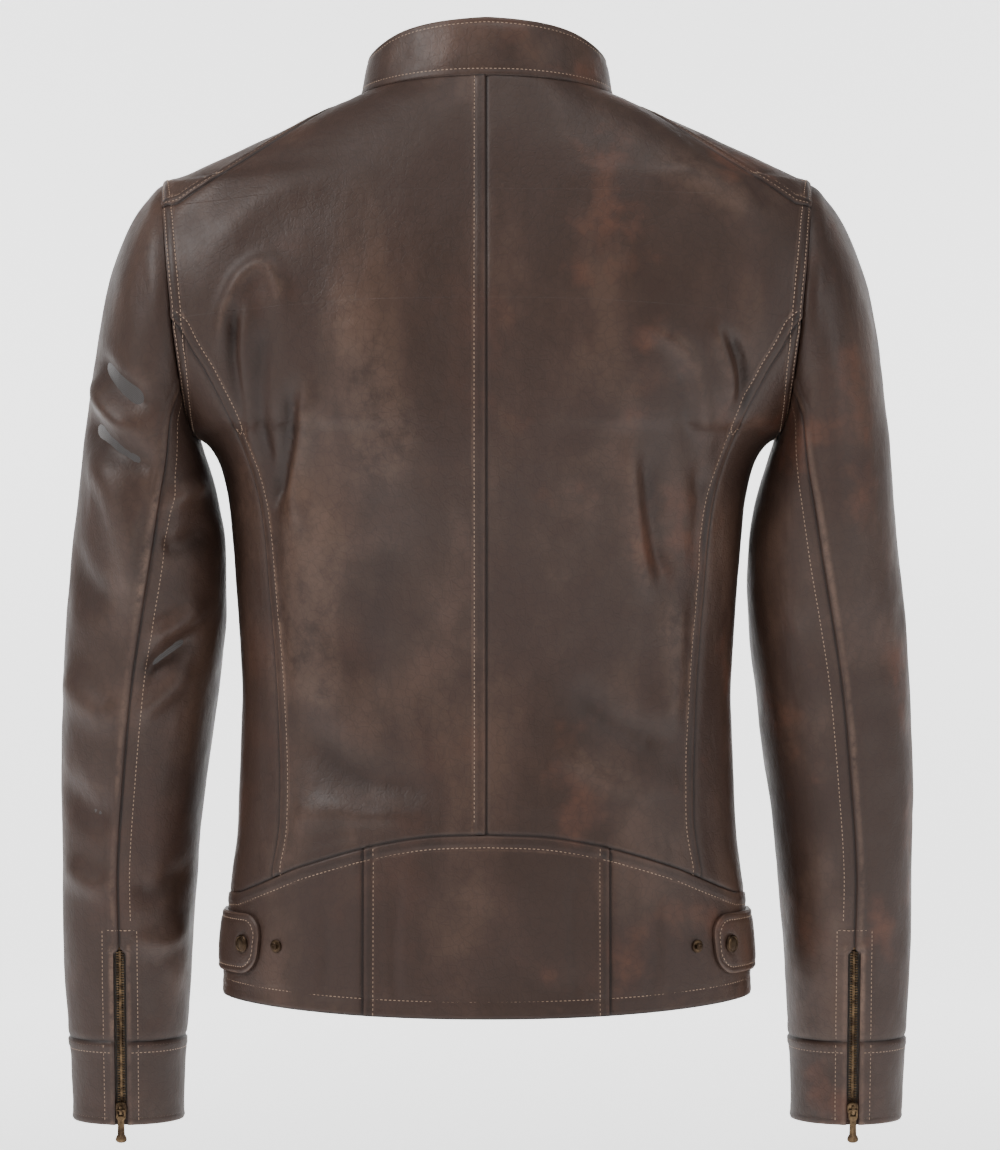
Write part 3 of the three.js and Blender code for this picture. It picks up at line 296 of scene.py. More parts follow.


# ---- folds and softness of the leather

# Listed folds on the back: points in x and z, then height and half width in mm.
# A plus height is a ridge and a minus one a valley. Positive x is the wearer's left.
backFolds = [
    ([(185, -196), (180, -165), (169, -143), (154, -135), (145, -148), (143, -171)], 2.6, 6),
    ([(174, -160), (175, -193), (173, -218), (169, -250)], -3.6, 5.5),
    ([(167, -155), (171, -194), (171, -216), (168, -240), (161, -278)], 2.4, 6),
    ([(152, -170), (158, -210), (158, -250), (150, -290)], -2.2, 8),
    ([(133, -215), (136, -247), (142, -280), (149, -305)], -3.4, 6),
    ([(127, -214), (128, -252), (133, -280), (129, -322)], 2.6, 8),
    ([(100, -150), (86, -190), (75, -240), (72, -290)], 2.2, 26),
    ([(112, -300), (120, -350), (118, -400), (108, -450)], 3.0, 20),
    ([(60, -320), (78, -380), (80, -430)], -2.0, 22),
    ([(130, -460), (90, -490), (40, -500)], -1.8, 16),
    ([(140, -520), (100, -515), (50, -522)], 1.6, 12),
    ([(-166, -180), (-176, -203), (-179, -226), (-177, -238)], -3.2, 5),
    ([(-158, -176), (-168, -205), (-171, -232)], 2.0, 6),
    ([(-110, -263), (-112, -288), (-117, -321), (-125, -353)], -2.6, 8),
    ([(-100, -255), (-102, -290), (-106, -330), (-112, -370)], 2.2, 9),
    ([(-137, -203), (-140, -229), (-145, -262)], -2.2, 9),
    ([(-110, -175), (-137, -196), (-146, -222), (-150, -262)], 2.4, 8),
    ([(-148, -272), (-153, -305), (-150, -340)], -2.2, 8),
    ([(-128, -360), (-132, -420), (-124, -470)], 2.4, 16),
    ([(-60, -430), (-90, -455), (-130, -470)], -2.2, 14),
    ([(-50, -470), (-90, -492), (-140, -500)], 1.8, 14),
    ([(-120, -60), (-150, -75), (-185, -100)], 1.6, 14),
    ([(120, -70), (155, -90), (190, -120)], 1.4, 14),
    ([(60, -560), (64, -600), (62, -650)], -0.7, 4),
    ([(115, -572), (112, -610), (114, -650)], -0.7, 4),
    ([(-60, -560), (-60, -600), (-64, -650)], -0.7, 4),
    ([(-118, -572), (-118, -610), (-114, -650)], -0.7, 4),
]
frontFolds = [
    ([(150, -180), (130, -230), (112, -290)], 2.6, 12),
    ([(166, -200), (150, -250), (140, -310)], -2.6, 9),
    ([(-150, -185), (-128, -240), (-116, -300)], 2.6, 12),
    ([(-166, -205), (-152, -255), (-138, -305)], -2.4, 9),
    ([(90, -380), (120, -400), (150, -390)], 2.0, 12),
    ([(-90, -390), (-125, -405), (-150, -398)], 2.0, 12),
    ([(60, -600), (90, -560), (96, -500)], -1.6, 14),
    ([(-60, -600), (-92, -565), (-98, -505)], -1.6, 14),
    ([(30, -130), (60, -180), (66, -250)], 1.8, 22),
    ([(-30, -130), (-62, -180), (-68, -250)], 1.8, 22),
]
# Folds across a sleeve, as the left sleeve shows them on its back, in x and z.
leftSleeveFolds = [
    ([(284, -190), (262, -215), (236, -232)], -2.4, 8),
    ([(286, -205), (268, -232), (246, -252)], 2.6, 8),
    ([(290, -235), (262, -262), (232, -276)], -2.0, 9),
    ([(284, -262), (262, -290), (250, -330), (246, -372)], 3.0, 13),
    ([(232, -300), (214, -292), (200, -284)], 2.4, 8),
    ([(236, -322), (218, -330), (198, -318)], -2.0, 8),
    ([(240, -395), (222, -386), (204, -372)], 2.4, 8),
    ([(246, -420), (232, -412), (206, -392)], -2.2, 7),
    ([(252, -450), (236, -440), (212, -418)], 2.0, 8),
    ([(306, -330), (290, -350), (272, -372)], -1.8, 12),
    ([(304, -420), (286, -440), (262, -452)], 1.8, 12),
    ([(304, -500), (280, -520), (262, -516)], -1.8, 12),
    ([(300, -560), (282, -572), (268, -570)], 1.6, 9),
    ([(216, -560), (232, -574), (252, -578)], -1.6, 9),
    ([(218, -600), (232, -612), (250, -612)], 1.4, 8),
]
rightSleeveFolds = [
    ([(282, -180), (262, -212), (240, -228)], 2.6, 8),
    ([(288, -200), (266, -232), (240, -246)], -2.6, 7),
    ([(292, -235), (270, -262), (238, -272)], 2.6, 9),
    ([(236, -262), (222, -272), (204, -268)], -2.6, 7),
    ([(238, -284), (220, -292), (202, -286)], 2.4, 7),
    ([(290, -290), (270, -318), (254, -322)], -2.4, 9),
    ([(296, -330), (276, -352), (256, -362)], 2.4, 11),
    ([(240, -350), (222, -344), (204, -330)], -2.0, 8),
    ([(300, -400), (280, -410), (260, -402)], -2.0, 11),
    ([(246, -410), (228, -420), (208, -408)], 2.2, 9),
    ([(302, -450), (284, -470), (262, -478)], 2.0, 12),
    ([(252, -500), (236, -492), (216, -480)], -1.8, 10),
    ([(304, -540), (286, -552), (268, -546)], -1.8, 10),
    ([(220, -580), (238, -590), (254, -588)], 1.8, 9),
]


# A fold is drawn with a soft round brush along its route, lighter at both ends.
def foldHeight(points, folds):
    flat = points[..., [0, 2]]
    total = np.zeros(points.shape[:-1])
    for route, height, width in folds:
        line = np.array(route, float)
        run = np.concatenate([[0], np.cumsum(np.linalg.norm(np.diff(line, axis=0), axis=1))])
        at = np.linspace(0, run[-1], max(int(run[-1] / (width * 0.3)), 4))
        dots = np.stack([stations(list(zip(run, line[:, k])))(at) for k in (0, 1)], -1)
        press = smoothStep(np.minimum(at, run[-1] - at) / run[-1], -0.06, 0.24)
        near = (flat[..., 1] < line[:, 1].max() + 4 * width) & (flat[..., 1] > line[:, 1].min() - 4 * width)
        if near.any():
            gap = ((flat[near][:, None] - dots[None]) ** 2).sum(-1)
            total[near] += height * (press * np.exp(-gap / width**2)).max(-1)
    return total


foldStrength = 2.2


# How far the leather stands off its plain shape: folds you can see, then broad and small softness.
def softness(points, normals, folds, facing=1.0):
    broad = softNoise(points, (110, 110, 150), 3.3) * 1.7 + softNoise(points, (48, 60, 80), 9.1) * 0.75
    small = softNoise(points, (16, 20, 26), 1.7) * 0.42 + softNoise(points, (7, 8, 9), 5.2) * 0.12
    return broad + small + foldStrength * foldHeight(points,
                                                     folds) * smoothStep(normals[..., 1] * facing, 0.05, 0.5)


# The cross profile of a seam on one side of it. over stands up and carries the rows of topstitching.
def seamProfile(gap, kind, rows=()):
    if kind == "over":
        groove = np.exp(-(gap / 0.9) ** 2)
        height = 0.95 * np.exp(-(gap / 9.5) ** 4) * (1 - groove) - 0.75 * groove
    elif kind == "under":
        height = -0.75 * np.exp(-(gap / 1.5) ** 2) + 0.25 * np.exp(-((gap - 6) / 4) ** 2)
    else:
        height = -0.55 * np.exp(-(gap / 1.2) ** 2)
    for row in rows:
        height = height - 0.42 * np.exp(-((gap - row) / 1.25) ** 2)
    return height


# Puckers that gather along a row of stitches.
def pucker(points, gap, row):
    return 0.16 * softNoise(points, (5, 5, 5), 2.0) * np.exp(-((gap - row) / 3.5) ** 2)


# ---- materials

tones = {
    "leather": ((0.030, 0.0140, 0.0090), (0.064, 0.0345, 0.0235)),
    "leatherDark": ((0.016, 0.008, 0.005), (0.036, 0.018, 0.012)),
    # The reddish patch tone is partly painted sheen, the worn tone also paints highlight on fold ridges, and
    # the dark crease tone is painted shade, also used for a darker band beside topstitching.
    "patch": (0.110, 0.042, 0.024), "worn": (0.165, 0.100, 0.070), "shadeAndDarkBand": (0.010, 0.005, 0.004),
    "thread": (0.250, 0.165, 0.110), "lining": (0.020, 0.016, 0.015), "tape": (0.020, 0.015, 0.012),
    "brass": (0.165, 0.108, 0.058), "brassDark": (0.040, 0.024, 0.014),
}


class Nodes:
    def __init__(self, name):
        self.material = bpy.data.materials.new(name)
        self.material.use_nodes = True
        self.tree = self.material.node_tree
        self.shader = self.tree.nodes["Principled BSDF"]

    def add(self, kind, links=None, **values):
        node = self.tree.nodes.new(kind)
        for key, value in values.items():
            setattr(node, key, value)
        for socket, source in (links or {}).items():
            self.wire(source, node.inputs[socket])
        return node

    # source is a socket, which is linked, or a plain value, which is set.
    def wire(self, source, socket):
        if isinstance(source, bpy.types.NodeSocket):
            self.tree.links.new(source, socket)
        else:
            socket.default_value = source

    def noise(self, scale, detail=3.0, roughness=0.5, stretch=None):
        spot = self.add("ShaderNodeTexCoord").outputs["Object"]
        if stretch:
            spot = self.add("ShaderNodeMapping", {"Vector": spot, "Scale": stretch}).outputs["Vector"]
        links = {"Vector": spot, "Scale": scale, "Detail": detail, "Roughness": roughness}
        return self.add("ShaderNodeTexNoise", links).outputs["Fac"]

    def cells(self, scale, feature="F1"):
        spot = self.add("ShaderNodeTexCoord").outputs["Object"]
        soft = self.add("ShaderNodeTexNoise", {"Vector": spot, "Scale": scale * 0.6}).outputs["Color"]
        bent = self.add("ShaderNodeVectorMath", {0: soft, 3: 0.5 / scale}, operation="SCALE").outputs[0]
        moved = self.add("ShaderNodeVectorMath", {0: spot, 1: bent}, operation="ADD").outputs[0]
        return self.add("ShaderNodeTexVoronoi", {"Vector": moved, "Scale": scale},
                        feature=feature).outputs["Distance"]

    def ramp(self, value, low, high, fromValue=0.0, toValue=1.0):
        links = {"Value": value, "From Min": low, "From Max": high, "To Min": fromValue, "To Max": toValue}
        return self.add("ShaderNodeMapRange", links, interpolation_type="SMOOTHSTEP").outputs["Result"]

    def sums(self, a, b, how="ADD"):
        return self.add("ShaderNodeMath", {0: a, 1: b}, operation=how).outputs[0]

    def mix(self, share, a, b):
        node = self.add("ShaderNodeMix", data_type="RGBA")
        for socket, source in ((0, share), (6, a), (7, b)):
            self.wire((*source, 1) if isinstance(source, tuple) else source, node.inputs[socket])
        return node.outputs[2]

    def bump(self, height, strength, distance, below=None):
        links = {"Height": height, "Strength": strength, "Distance": distance}
        if below is not None:
            links["Normal"] = below
        return self.add("ShaderNodeBump", links).outputs["Normal"]

    def finish(self, **sockets):
        for name, source in sockets.items():
            self.wire((*source, 1) if isinstance(source, tuple) else source,
                      self.shader.inputs[name.replace("_", " ")])
        return self.material


# Washed full grain leather: mottled dye, reddish patches partly painted as sheen, pebbled grain, painted
# shade in creases and grooves, painted highlight on fold ridges, and edges rubbed lighter.
def leatherMaterial(name, dark, light, patches):
    n = Nodes(name)
    clouds = n.noise(9.0, 5.0, 0.62)
    streaks = n.noise(16.0, 4.0, 0.6, (1.0, 1.0, 0.35))
    flecks = n.noise(260.0, 3.0, 0.6)
    tone = n.sums(n.sums(n.ramp(clouds, 0.34, 0.68), n.ramp(streaks, 0.35, 0.7), "MULTIPLY"),
                  n.sums(flecks, 0.30, "MULTIPLY"))
    colour = n.mix(n.ramp(tone, 0.0, 0.95), dark, light)
    if patches:
        side = n.add("ShaderNodeSeparateXYZ", {0: n.add("ShaderNodeTexCoord").outputs["Object"]}).outputs["X"]
        # Reddish patches, much stronger on the wearer's right: partly dye, partly painted sheen on that side.
        redAndSheen = n.sums(n.ramp(n.noise(14.0, 4.0, 0.6), 0.52, 0.70), n.ramp(side, 0.02, -0.06, 0.12, 0.60),
                     "MULTIPLY")
        colour = n.mix(redAndSheen, colour, tones["patch"])
    wearAndShading = n.add("ShaderNodeAttribute", attribute_name="wearAndShading").outputs["Fac"]
    # Lighter where rubbed along seams and edges, and painted highlight on fold ridges.
    rubbedAndHighlight = n.sums(n.ramp(wearAndShading, 0.15, 1.0), n.ramp(n.noise(70.0, 4.0, 0.7), 0.30, 0.62), "MULTIPLY")
    colour = n.mix(n.sums(rubbedAndHighlight, 0.75, "MULTIPLY"), colour, tones["worn"])
    # Painted shade in seam grooves, fold valleys and panel rims, and a darker band beside topstitching.
    colour = n.mix(n.ramp(wearAndShading, 0.0, -1.0, 0.0, 0.85), colour, tones["shadeAndDarkBand"])
    pebbles = n.cells(620.0)
    creases = n.ramp(n.cells(150.0, "DISTANCE_TO_EDGE"), 0.0, 0.10)
    # Painted shade in the creases of the grain.
    colour = n.mix(n.ramp(creases, 0.0, 1.0, 0.16, 0.0), colour, tones["shadeAndDarkBand"])
    wrinkles = n.noise(46.0, 6.0, 0.66, (1.0, 1.0, 0.55))
    normal = n.bump(wrinkles, 0.42, 0.0026)
    normal = n.bump(creases, 0.20, 0.00030, normal)
    normal = n.bump(pebbles, 0.42, 0.00022, normal)
    shine = n.sums(n.ramp(clouds, 0.3, 0.7, 0.56, 0.43), n.sums(flecks, 0.14, "MULTIPLY"))
    return n.finish(Base_Color=colour, Roughness=shine, Normal=normal, IOR=1.42, Coat_Weight=0.08,
                    Coat_Roughness=0.42)


def threadMaterial():
    n = Nodes("waxed_thread")
    tone = n.noise(900.0, 2.0)
    colour = n.mix(tone, tones["thread"], (0.36, 0.25, 0.18))
    return n.finish(Base_Color=colour, Roughness=0.62, Normal=n.bump(n.noise(2600.0, 1.0), 0.5, 0.0001))


def brassMaterial():
    n = Nodes("antique_brass")
    worn = n.ramp(n.noise(120.0, 4.0, 0.7), 0.38, 0.64)
    edge = n.add("ShaderNodeNewGeometry").outputs["Pointiness"]
    colour = n.mix(n.sums(worn, n.ramp(edge, 0.46, 0.56), "MULTIPLY"), tones["brassDark"], tones["brass"])
    shine = n.ramp(n.noise(300.0, 3.0), 0.3, 0.7, 0.30, 0.52)
    return n.finish(Base_Color=colour, Metallic=0.9, Roughness=shine,
                    Normal=n.bump(n.noise(700.0, 3.0), 0.25, 0.0001))


# A plain woven tape: one set of fine ribs from stretched noise.
def tapeMaterial():
    n = Nodes("zip_tape")
    ribs = n.noise(1400.0, 2.0, 0.5, (1.0, 1.0, 0.25))
    colour = n.mix(ribs, tones["tape"], (0.050, 0.038, 0.030))
    return n.finish(Base_Color=colour, Roughness=0.85, Normal=n.bump(ribs, 0.7, 0.0003), Sheen_Weight=0.2)


# Satin twill: fine slanting ribs and a soft sheen.
def liningMaterial():
    n = Nodes("lining_cloth")
    spot = n.add("ShaderNodeTexCoord").outputs["Object"]
    turned = n.add("ShaderNodeMapping", {"Vector": spot, "Rotation": (0.0, 0.9, 0.3)}).outputs["Vector"]
    ribs = n.add("ShaderNodeTexWave", {"Vector": turned, "Scale": 320.0, "Distortion": 0.4}).outputs["Fac"]
    colour = n.mix(n.sums(ribs, n.noise(20.0), "MULTIPLY"), tones["lining"], (0.060, 0.048, 0.044))
    return n.finish(Base_Color=colour, Roughness=0.42, Normal=n.bump(ribs, 0.5, 0.0002), Sheen_Weight=0.35)


leather = leatherMaterial("leather", *tones["leather"], True)
leatherDark = leatherMaterial("leather_dark", *tones["leatherDark"], False)
thread = threadMaterial()
brass = brassMaterial()
tape = tapeMaterial()
lining = liningMaterial()


def place(piece, body, *nodes):
    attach(piece, body)
    if nodes:
        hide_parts(*nodes)
    return piece


# ---- stitches

stitch = {"pitch": 3.1, "length": 2.4, "radius": 0.36, "sides": 5, "sink": 0.06}


# Small capsules along a line of points, each lying in the surface that the normals give.
def stitchMesh(lines):
    verts, faces = [], []
    ends = np.array([(-0.5, 0.35), (-0.30, 1.0), (0.30, 1.0), (0.5, 0.35)])
    turns = np.linspace(0, 2 * np.pi, stitch["sides"], endpoint=False)
    for points, normals in lines:
        step = np.linalg.norm(np.diff(points, axis=0), axis=1)
        run = np.concatenate([[0], np.cumsum(step)])
        count = max(int(run[-1] / stitch["pitch"]), 1)
        at = (np.arange(count) + 0.5) * run[-1] / count
        p = np.stack([np.interp(at, run, points[:, k]) for k in range(3)], -1)
        n = np.stack([np.interp(at, run, normals[:, k]) for k in range(3)], -1)
        t = np.stack([np.interp(at + 0.8, run, points[:, k]) - np.interp(at - 0.8, run, points[:, k])
                      for k in range(3)], -1)
        t /= np.maximum(np.linalg.norm(t, axis=1, keepdims=True), 1e-9)
        side = np.cross(n, t)
        for i in range(count):
            start = len(verts)
            for along, wide in ends:
                for turn in turns:
                    lift = math.sin(turn) * 0.72 * wide - (0.9 if abs(along) > 0.4 else 0)
                    verts.append(p[i] + t[i] * along * stitch["length"] - n[i] * stitch["sink"]
                                 + (side[i] * math.cos(turn) * wide + n[i] * lift) * stitch["radius"])
            for ring in range(3):
                for k in range(stitch["sides"]):
                    first = start + ring * stitch["sides"]
                    a, b = first + k, first + (k + 1) % stitch["sides"]
                    faces.append((a, b, b + stitch["sides"], a + stitch["sides"]))
            faces.append(tuple(range(start + stitch["sides"] - 1, start - 1, -1)))
            faces.append(tuple(range(start + 3 * stitch["sides"], start + 4 * stitch["sides"])))
    return verts, faces


def stitches(name, body, lines):
    verts, faces = stitchMesh(lines)
    piece = makeObject(name, verts, faces, thread)
    return place(piece, body) if body else piece


# ---- body panels

sideRise = 640  # how far up 0 to 1 reaches along the side, to turn a height into a share
panel = {"thickness": 2.0, "innerStride": 2, "frontSeamY": -25, "hemFold": 32, "liningDepth": 9.6}
tab = {"drop": 610, "height": 42, "length": 84, "startY": -12, "lift": 0.8, "thickness": 2.8,
       "snapFromEnd": 15,
       "spareStud": 15, "endRound": 17}

centreLine = straight((0, 0), (0, 1))
princessLine = routeOnBody(1, seamRoutes["princess"])
princessLine[0] = (1, sideUp(seamRoutes["princessTopZ"]))
princessLine = princessLine[::-1]
archLine = routeOnBody(1, seamRoutes["arch"])
archLine[0, 0] = 0
shoulderBackLine = routeOnBody(1, seamRoutes["shoulderBack"])
shoulderBackLine = np.concatenate([[(1, sideUp(seamRoutes["shoulderBackZ"]))], shoulderBackLine[2:],
                                   [(shoulderBackLine[-1, 0] - 0.01, 1.0)]])
shoulderFrontLine = routeOnBody(-1, seamRoutes["shoulderFront"])
shoulderFrontLine = np.concatenate([[(1, sideUp(seamRoutes["shoulderFrontZ"]))], shoulderFrontLine[2:],
                                    [(shoulderFrontLine[-1, 0] + 0.01, 1.0)]])


# across on the front where the side seam runs, for a height of the side.
def frontSideAcross(up):
    low, high = np.full(np.shape(up), 0.5), np.ones(np.shape(up))
    for _ in range(30):
        middle = (low + high) / 2
        behind = bodyPoint(-1, middle, up)[..., 1] > panel["frontSeamY"]
        high, low = np.where(behind, middle, high), np.where(behind, low, middle)
    return middle


seamTopUp = sideUp(armpitZ + 3.6)
ups = np.linspace(0, seamTopUp, 80)
frontSideLine = np.stack([frontSideAcross(ups), ups], -1)
frontSideLine[-1, 0] = 1.0


# Where the arch meets the princess seam, the lower seam and the side.
meetX = 151
lowerSeamLine = routeOnBody(1, [(seamRoutes["lowerSeamX"], -540), (seamRoutes["lowerSeamX"], -600),
                                (seamRoutes["lowerSeamX"], -648)])[::-1]
lowerSeamLine[0, 1] = 0
archX = bodyPoint(1, archLine[:, 0], archLine[:, 1])[:, 0]


def archPart(fromX, toX):
    x = np.linspace(fromX, toX, 50)
    return np.stack([np.interp(x, archX, archLine[:, 0]), np.interp(x, archX, archLine[:, 1])], -1)


archSideUp = sideUp(-578)
archToSide = np.concatenate([archPart(seamRoutes["lowerSeamX"], 176), [(1, archSideUp)]])
archMeet = archPart(0, meetX)[-1]
princessLine = princessLine[princessLine[:, 1] > archMeet[1]]
princessLine = np.concatenate([[archMeet], princessLine])
lowerSeamLine = lowerSeamLine[lowerSeamLine[:, 1] < archPart(86, 87)[0, 1]]
lowerSeamLine = np.concatenate([lowerSeamLine, archPart(86, 87)[:1]])


def seam3d(face, line):
    return bodyPoint(face, line[:, 0], line[:, 1])


armholeLine = {face: np.stack([np.ones(90), sideUp(np.linspace(armpitZ, cut["armholeTopZ"], 90))], -1)
               for face in (1, -1)}
neckLine = straight((0, 1), (1, 1), 60)
hemLine = straight((0, 0), (1, 0), 60)
seamLines = {
    "centre": (1, centreLine), "princess": (1, princessLine),
    "arch": (1, np.concatenate([archPart(0, 176), archToSide[-1:]])),
    "lower": (1, lowerSeamLine), "shoulderBack": (1, shoulderBackLine),
    "shoulderFront": (-1, shoulderFrontLine),
    "armBack": (1, armholeLine[1]), "armFront": (-1, armholeLine[-1]), "side": (-1, frontSideLine),
    "neckBack": (1, neckLine), "neckFront": (-1, neckLine), "hemBack": (1, hemLine),
    "hemFront": (-1, hemLine),
    "zipEdge": (-1, np.stack([np.full(60, 0.0), np.linspace(0, 1, 60)], -1)),
}
seamPoints = {key: seam3d(face, line) for key, (face, line) in seamLines.items()}

pocket = {"top": (112, -430), "bottom": (124, -575), "slit": 4.6, "depth": 3.2}
pocketLine = seam3d(-1, bodyAcrossUp(-1, [pocket["top"][0], pocket["bottom"][0]],
                                     [pocket["top"][1], pocket["bottom"][1]]))


# Points and normals of the leather's outside, with its wear and painted shading. seams is a list of (seam,
# kind, rows of stitches).
def onLeather(side, face, grid, seams):
    across, up = grid[..., 0], grid[..., 1]
    points = bodyPoint(face, across, up)
    normals = bodyNormal(face, across, up)
    mirrored = points * [side, 1, 1]
    edge = np.ones(points.shape[:-1])
    relief = np.zeros(points.shape[:-1])
    wearAndShading = np.zeros(points.shape[:-1])
    for seam, kind, rows in seams:
        gap, _ = lineDistance(points, seamPoints[seam])
        relief += seamProfile(gap, kind, rows)
        for row in rows:
            relief += pucker(mirrored, gap, row)
        edge = np.minimum(edge, smoothStep(gap, 0, 22))
        # Painted shade: the seam's groove is coloured darker.
        wearAndShading -= 0.9 * np.exp(-(gap / 1.1) ** 2)
        if kind == "over" and rows:
            row = rows[-1]
            wearAndShading += 0.5 * np.exp(-((gap - row - 1.2) / 1.1) ** 2) + 0.45 * np.exp(-((gap - 2.0) / 0.8) ** 2)
            wearAndShading -= 0.40 * np.exp(-((gap - row * 0.6) / (row * 0.26)) ** 2)
    folds = backFolds if face > 0 else frontFolds
    soft = softness(mirrored, normals, folds, face)
    underTab = np.maximum(np.abs(points[..., 2] + tab["drop"]) - 24, 146 - points[..., 0])
    edge = np.minimum(edge, smoothStep(underTab, 0, 25))
    if face < 0:
        gap, along = lineDistance(points, pocketLine)
        ends = smoothStep(np.minimum(along, 1 - along), 0.0, 0.02)
        relief -= pocket["depth"] * smoothStep(pocket["slit"] + 1.2 - gap, 0, 1.2) * ends
        edge = np.minimum(edge, smoothStep(gap, 8, 34))
    height = soft * edge + relief
    # Painted highlight on fold ridges and painted shade in fold valleys.
    wearAndShading += 0.11 * np.clip(soft, -4, 4)
    return points + normals * height[..., None], normals, np.clip(wearAndShading, -1, 1)


# The outside, the inside and the rolled rims of a piece of leather, as grids for one mesh.
def leatherLayers(grid, normals, wearAndShading, flip, thickness):
    stride = panel["innerStride"]
    rows = np.unique(np.append(np.arange(0, grid.shape[0], stride), grid.shape[0] - 1))
    cols = np.unique(np.append(np.arange(0, grid.shape[1], stride), grid.shape[1] - 1))
    inner = grid[np.ix_(rows, cols)] - normals[np.ix_(rows, cols)] * thickness
    layers = [(grid, flip, wearAndShading), (inner, not flip, 0.0)]
    for take, turn in ((np.s_[0, :], False), (np.s_[-1, :], True), (np.s_[:, 0], True),
                       (np.s_[:, -1], False)):
        edge, n = grid[take], normals[take]
        rim = np.stack([edge, edge - n * thickness * 0.5, edge - n * thickness])
        # The rims are coloured darker: painted shade where the panels meet.
        layers.append((rim, flip != turn, -0.3))
    return layers


def mirror(points, side):
    return points * [side, 1, 1]


# patches is a list of (face, grid of across and up, seams). Both halves of a centre piece can be given.
def leatherPanel(name, nodes, patches, extra=()):
    layers = []
    for side, face, grid, seams in patches:
        outside, normals, wearAndShading = onLeather(side, face, grid, seams)
        flip = (face * side) > 0
        layers += leatherLayers(mirror(outside, side), mirror(normals, side), wearAndShading, flip, panel["thickness"])
    return place(gridObject(name, layers + list(extra), leather), "jacket_body", *nodes)


# A leather facing turned up inside the hem.
def hemFacing(side, face, fromAcross, toAcross):
    up = np.linspace(0.001, panel["hemFold"] / sideRise, 10)
    across = np.linspace(fromAcross, toAcross, 60)
    grid = np.stack(np.meshgrid(across, up), -1)
    points = bodyPoint(face, grid[..., 0], grid[..., 1])
    normals = bodyNormal(face, grid[..., 0], grid[..., 1])
    depth = np.linspace(panel["thickness"], panel["liningDepth"] - 0.2, 10)[:, None, None]
    flip = (face * side) > 0
    return (mirror(points - normals * depth, side), not flip, 0.0)


backSeams = {
    "back_panel": [("armBack", "over", (3, 9)), ("neckBack", "flat", ()), ("arch", "under", ()),
                   ("shoulderBack", "under", ()),
                   ("princess", "over", (7.5,))],
    "side_panel": [("princess", "under", ()), ("armBack", "over", (3, 9)), ("arch", "under", ())],
    "lower_side": [("arch", "over", (9,)), ("lower", "under", ()), ("hemBack", "flat", (12,))],
    "lower_centre": [("arch", "over", (9,)), ("lower", "over", (7.5,)), ("hemBack", "flat", (12,))],
    "shoulder_back": [("shoulderBack", "over", (3, 8)), ("armBack", "over", (3, 9))],
    "shoulder_front": [("shoulderFront", "over", (3, 8)), ("armFront", "over", (3, 9))],
    "front_panel": [("shoulderFront", "under", ()), ("armFront", "over", (3, 9)), ("side", "over", (7,)),
                    ("hemFront", "flat", (12,)), ("zipEdge", "flat", (8,)), ("neckFront", "flat", ())],
    "side_strip": [("side", "under", ()), ("hemFront", "flat", (12,))],
}


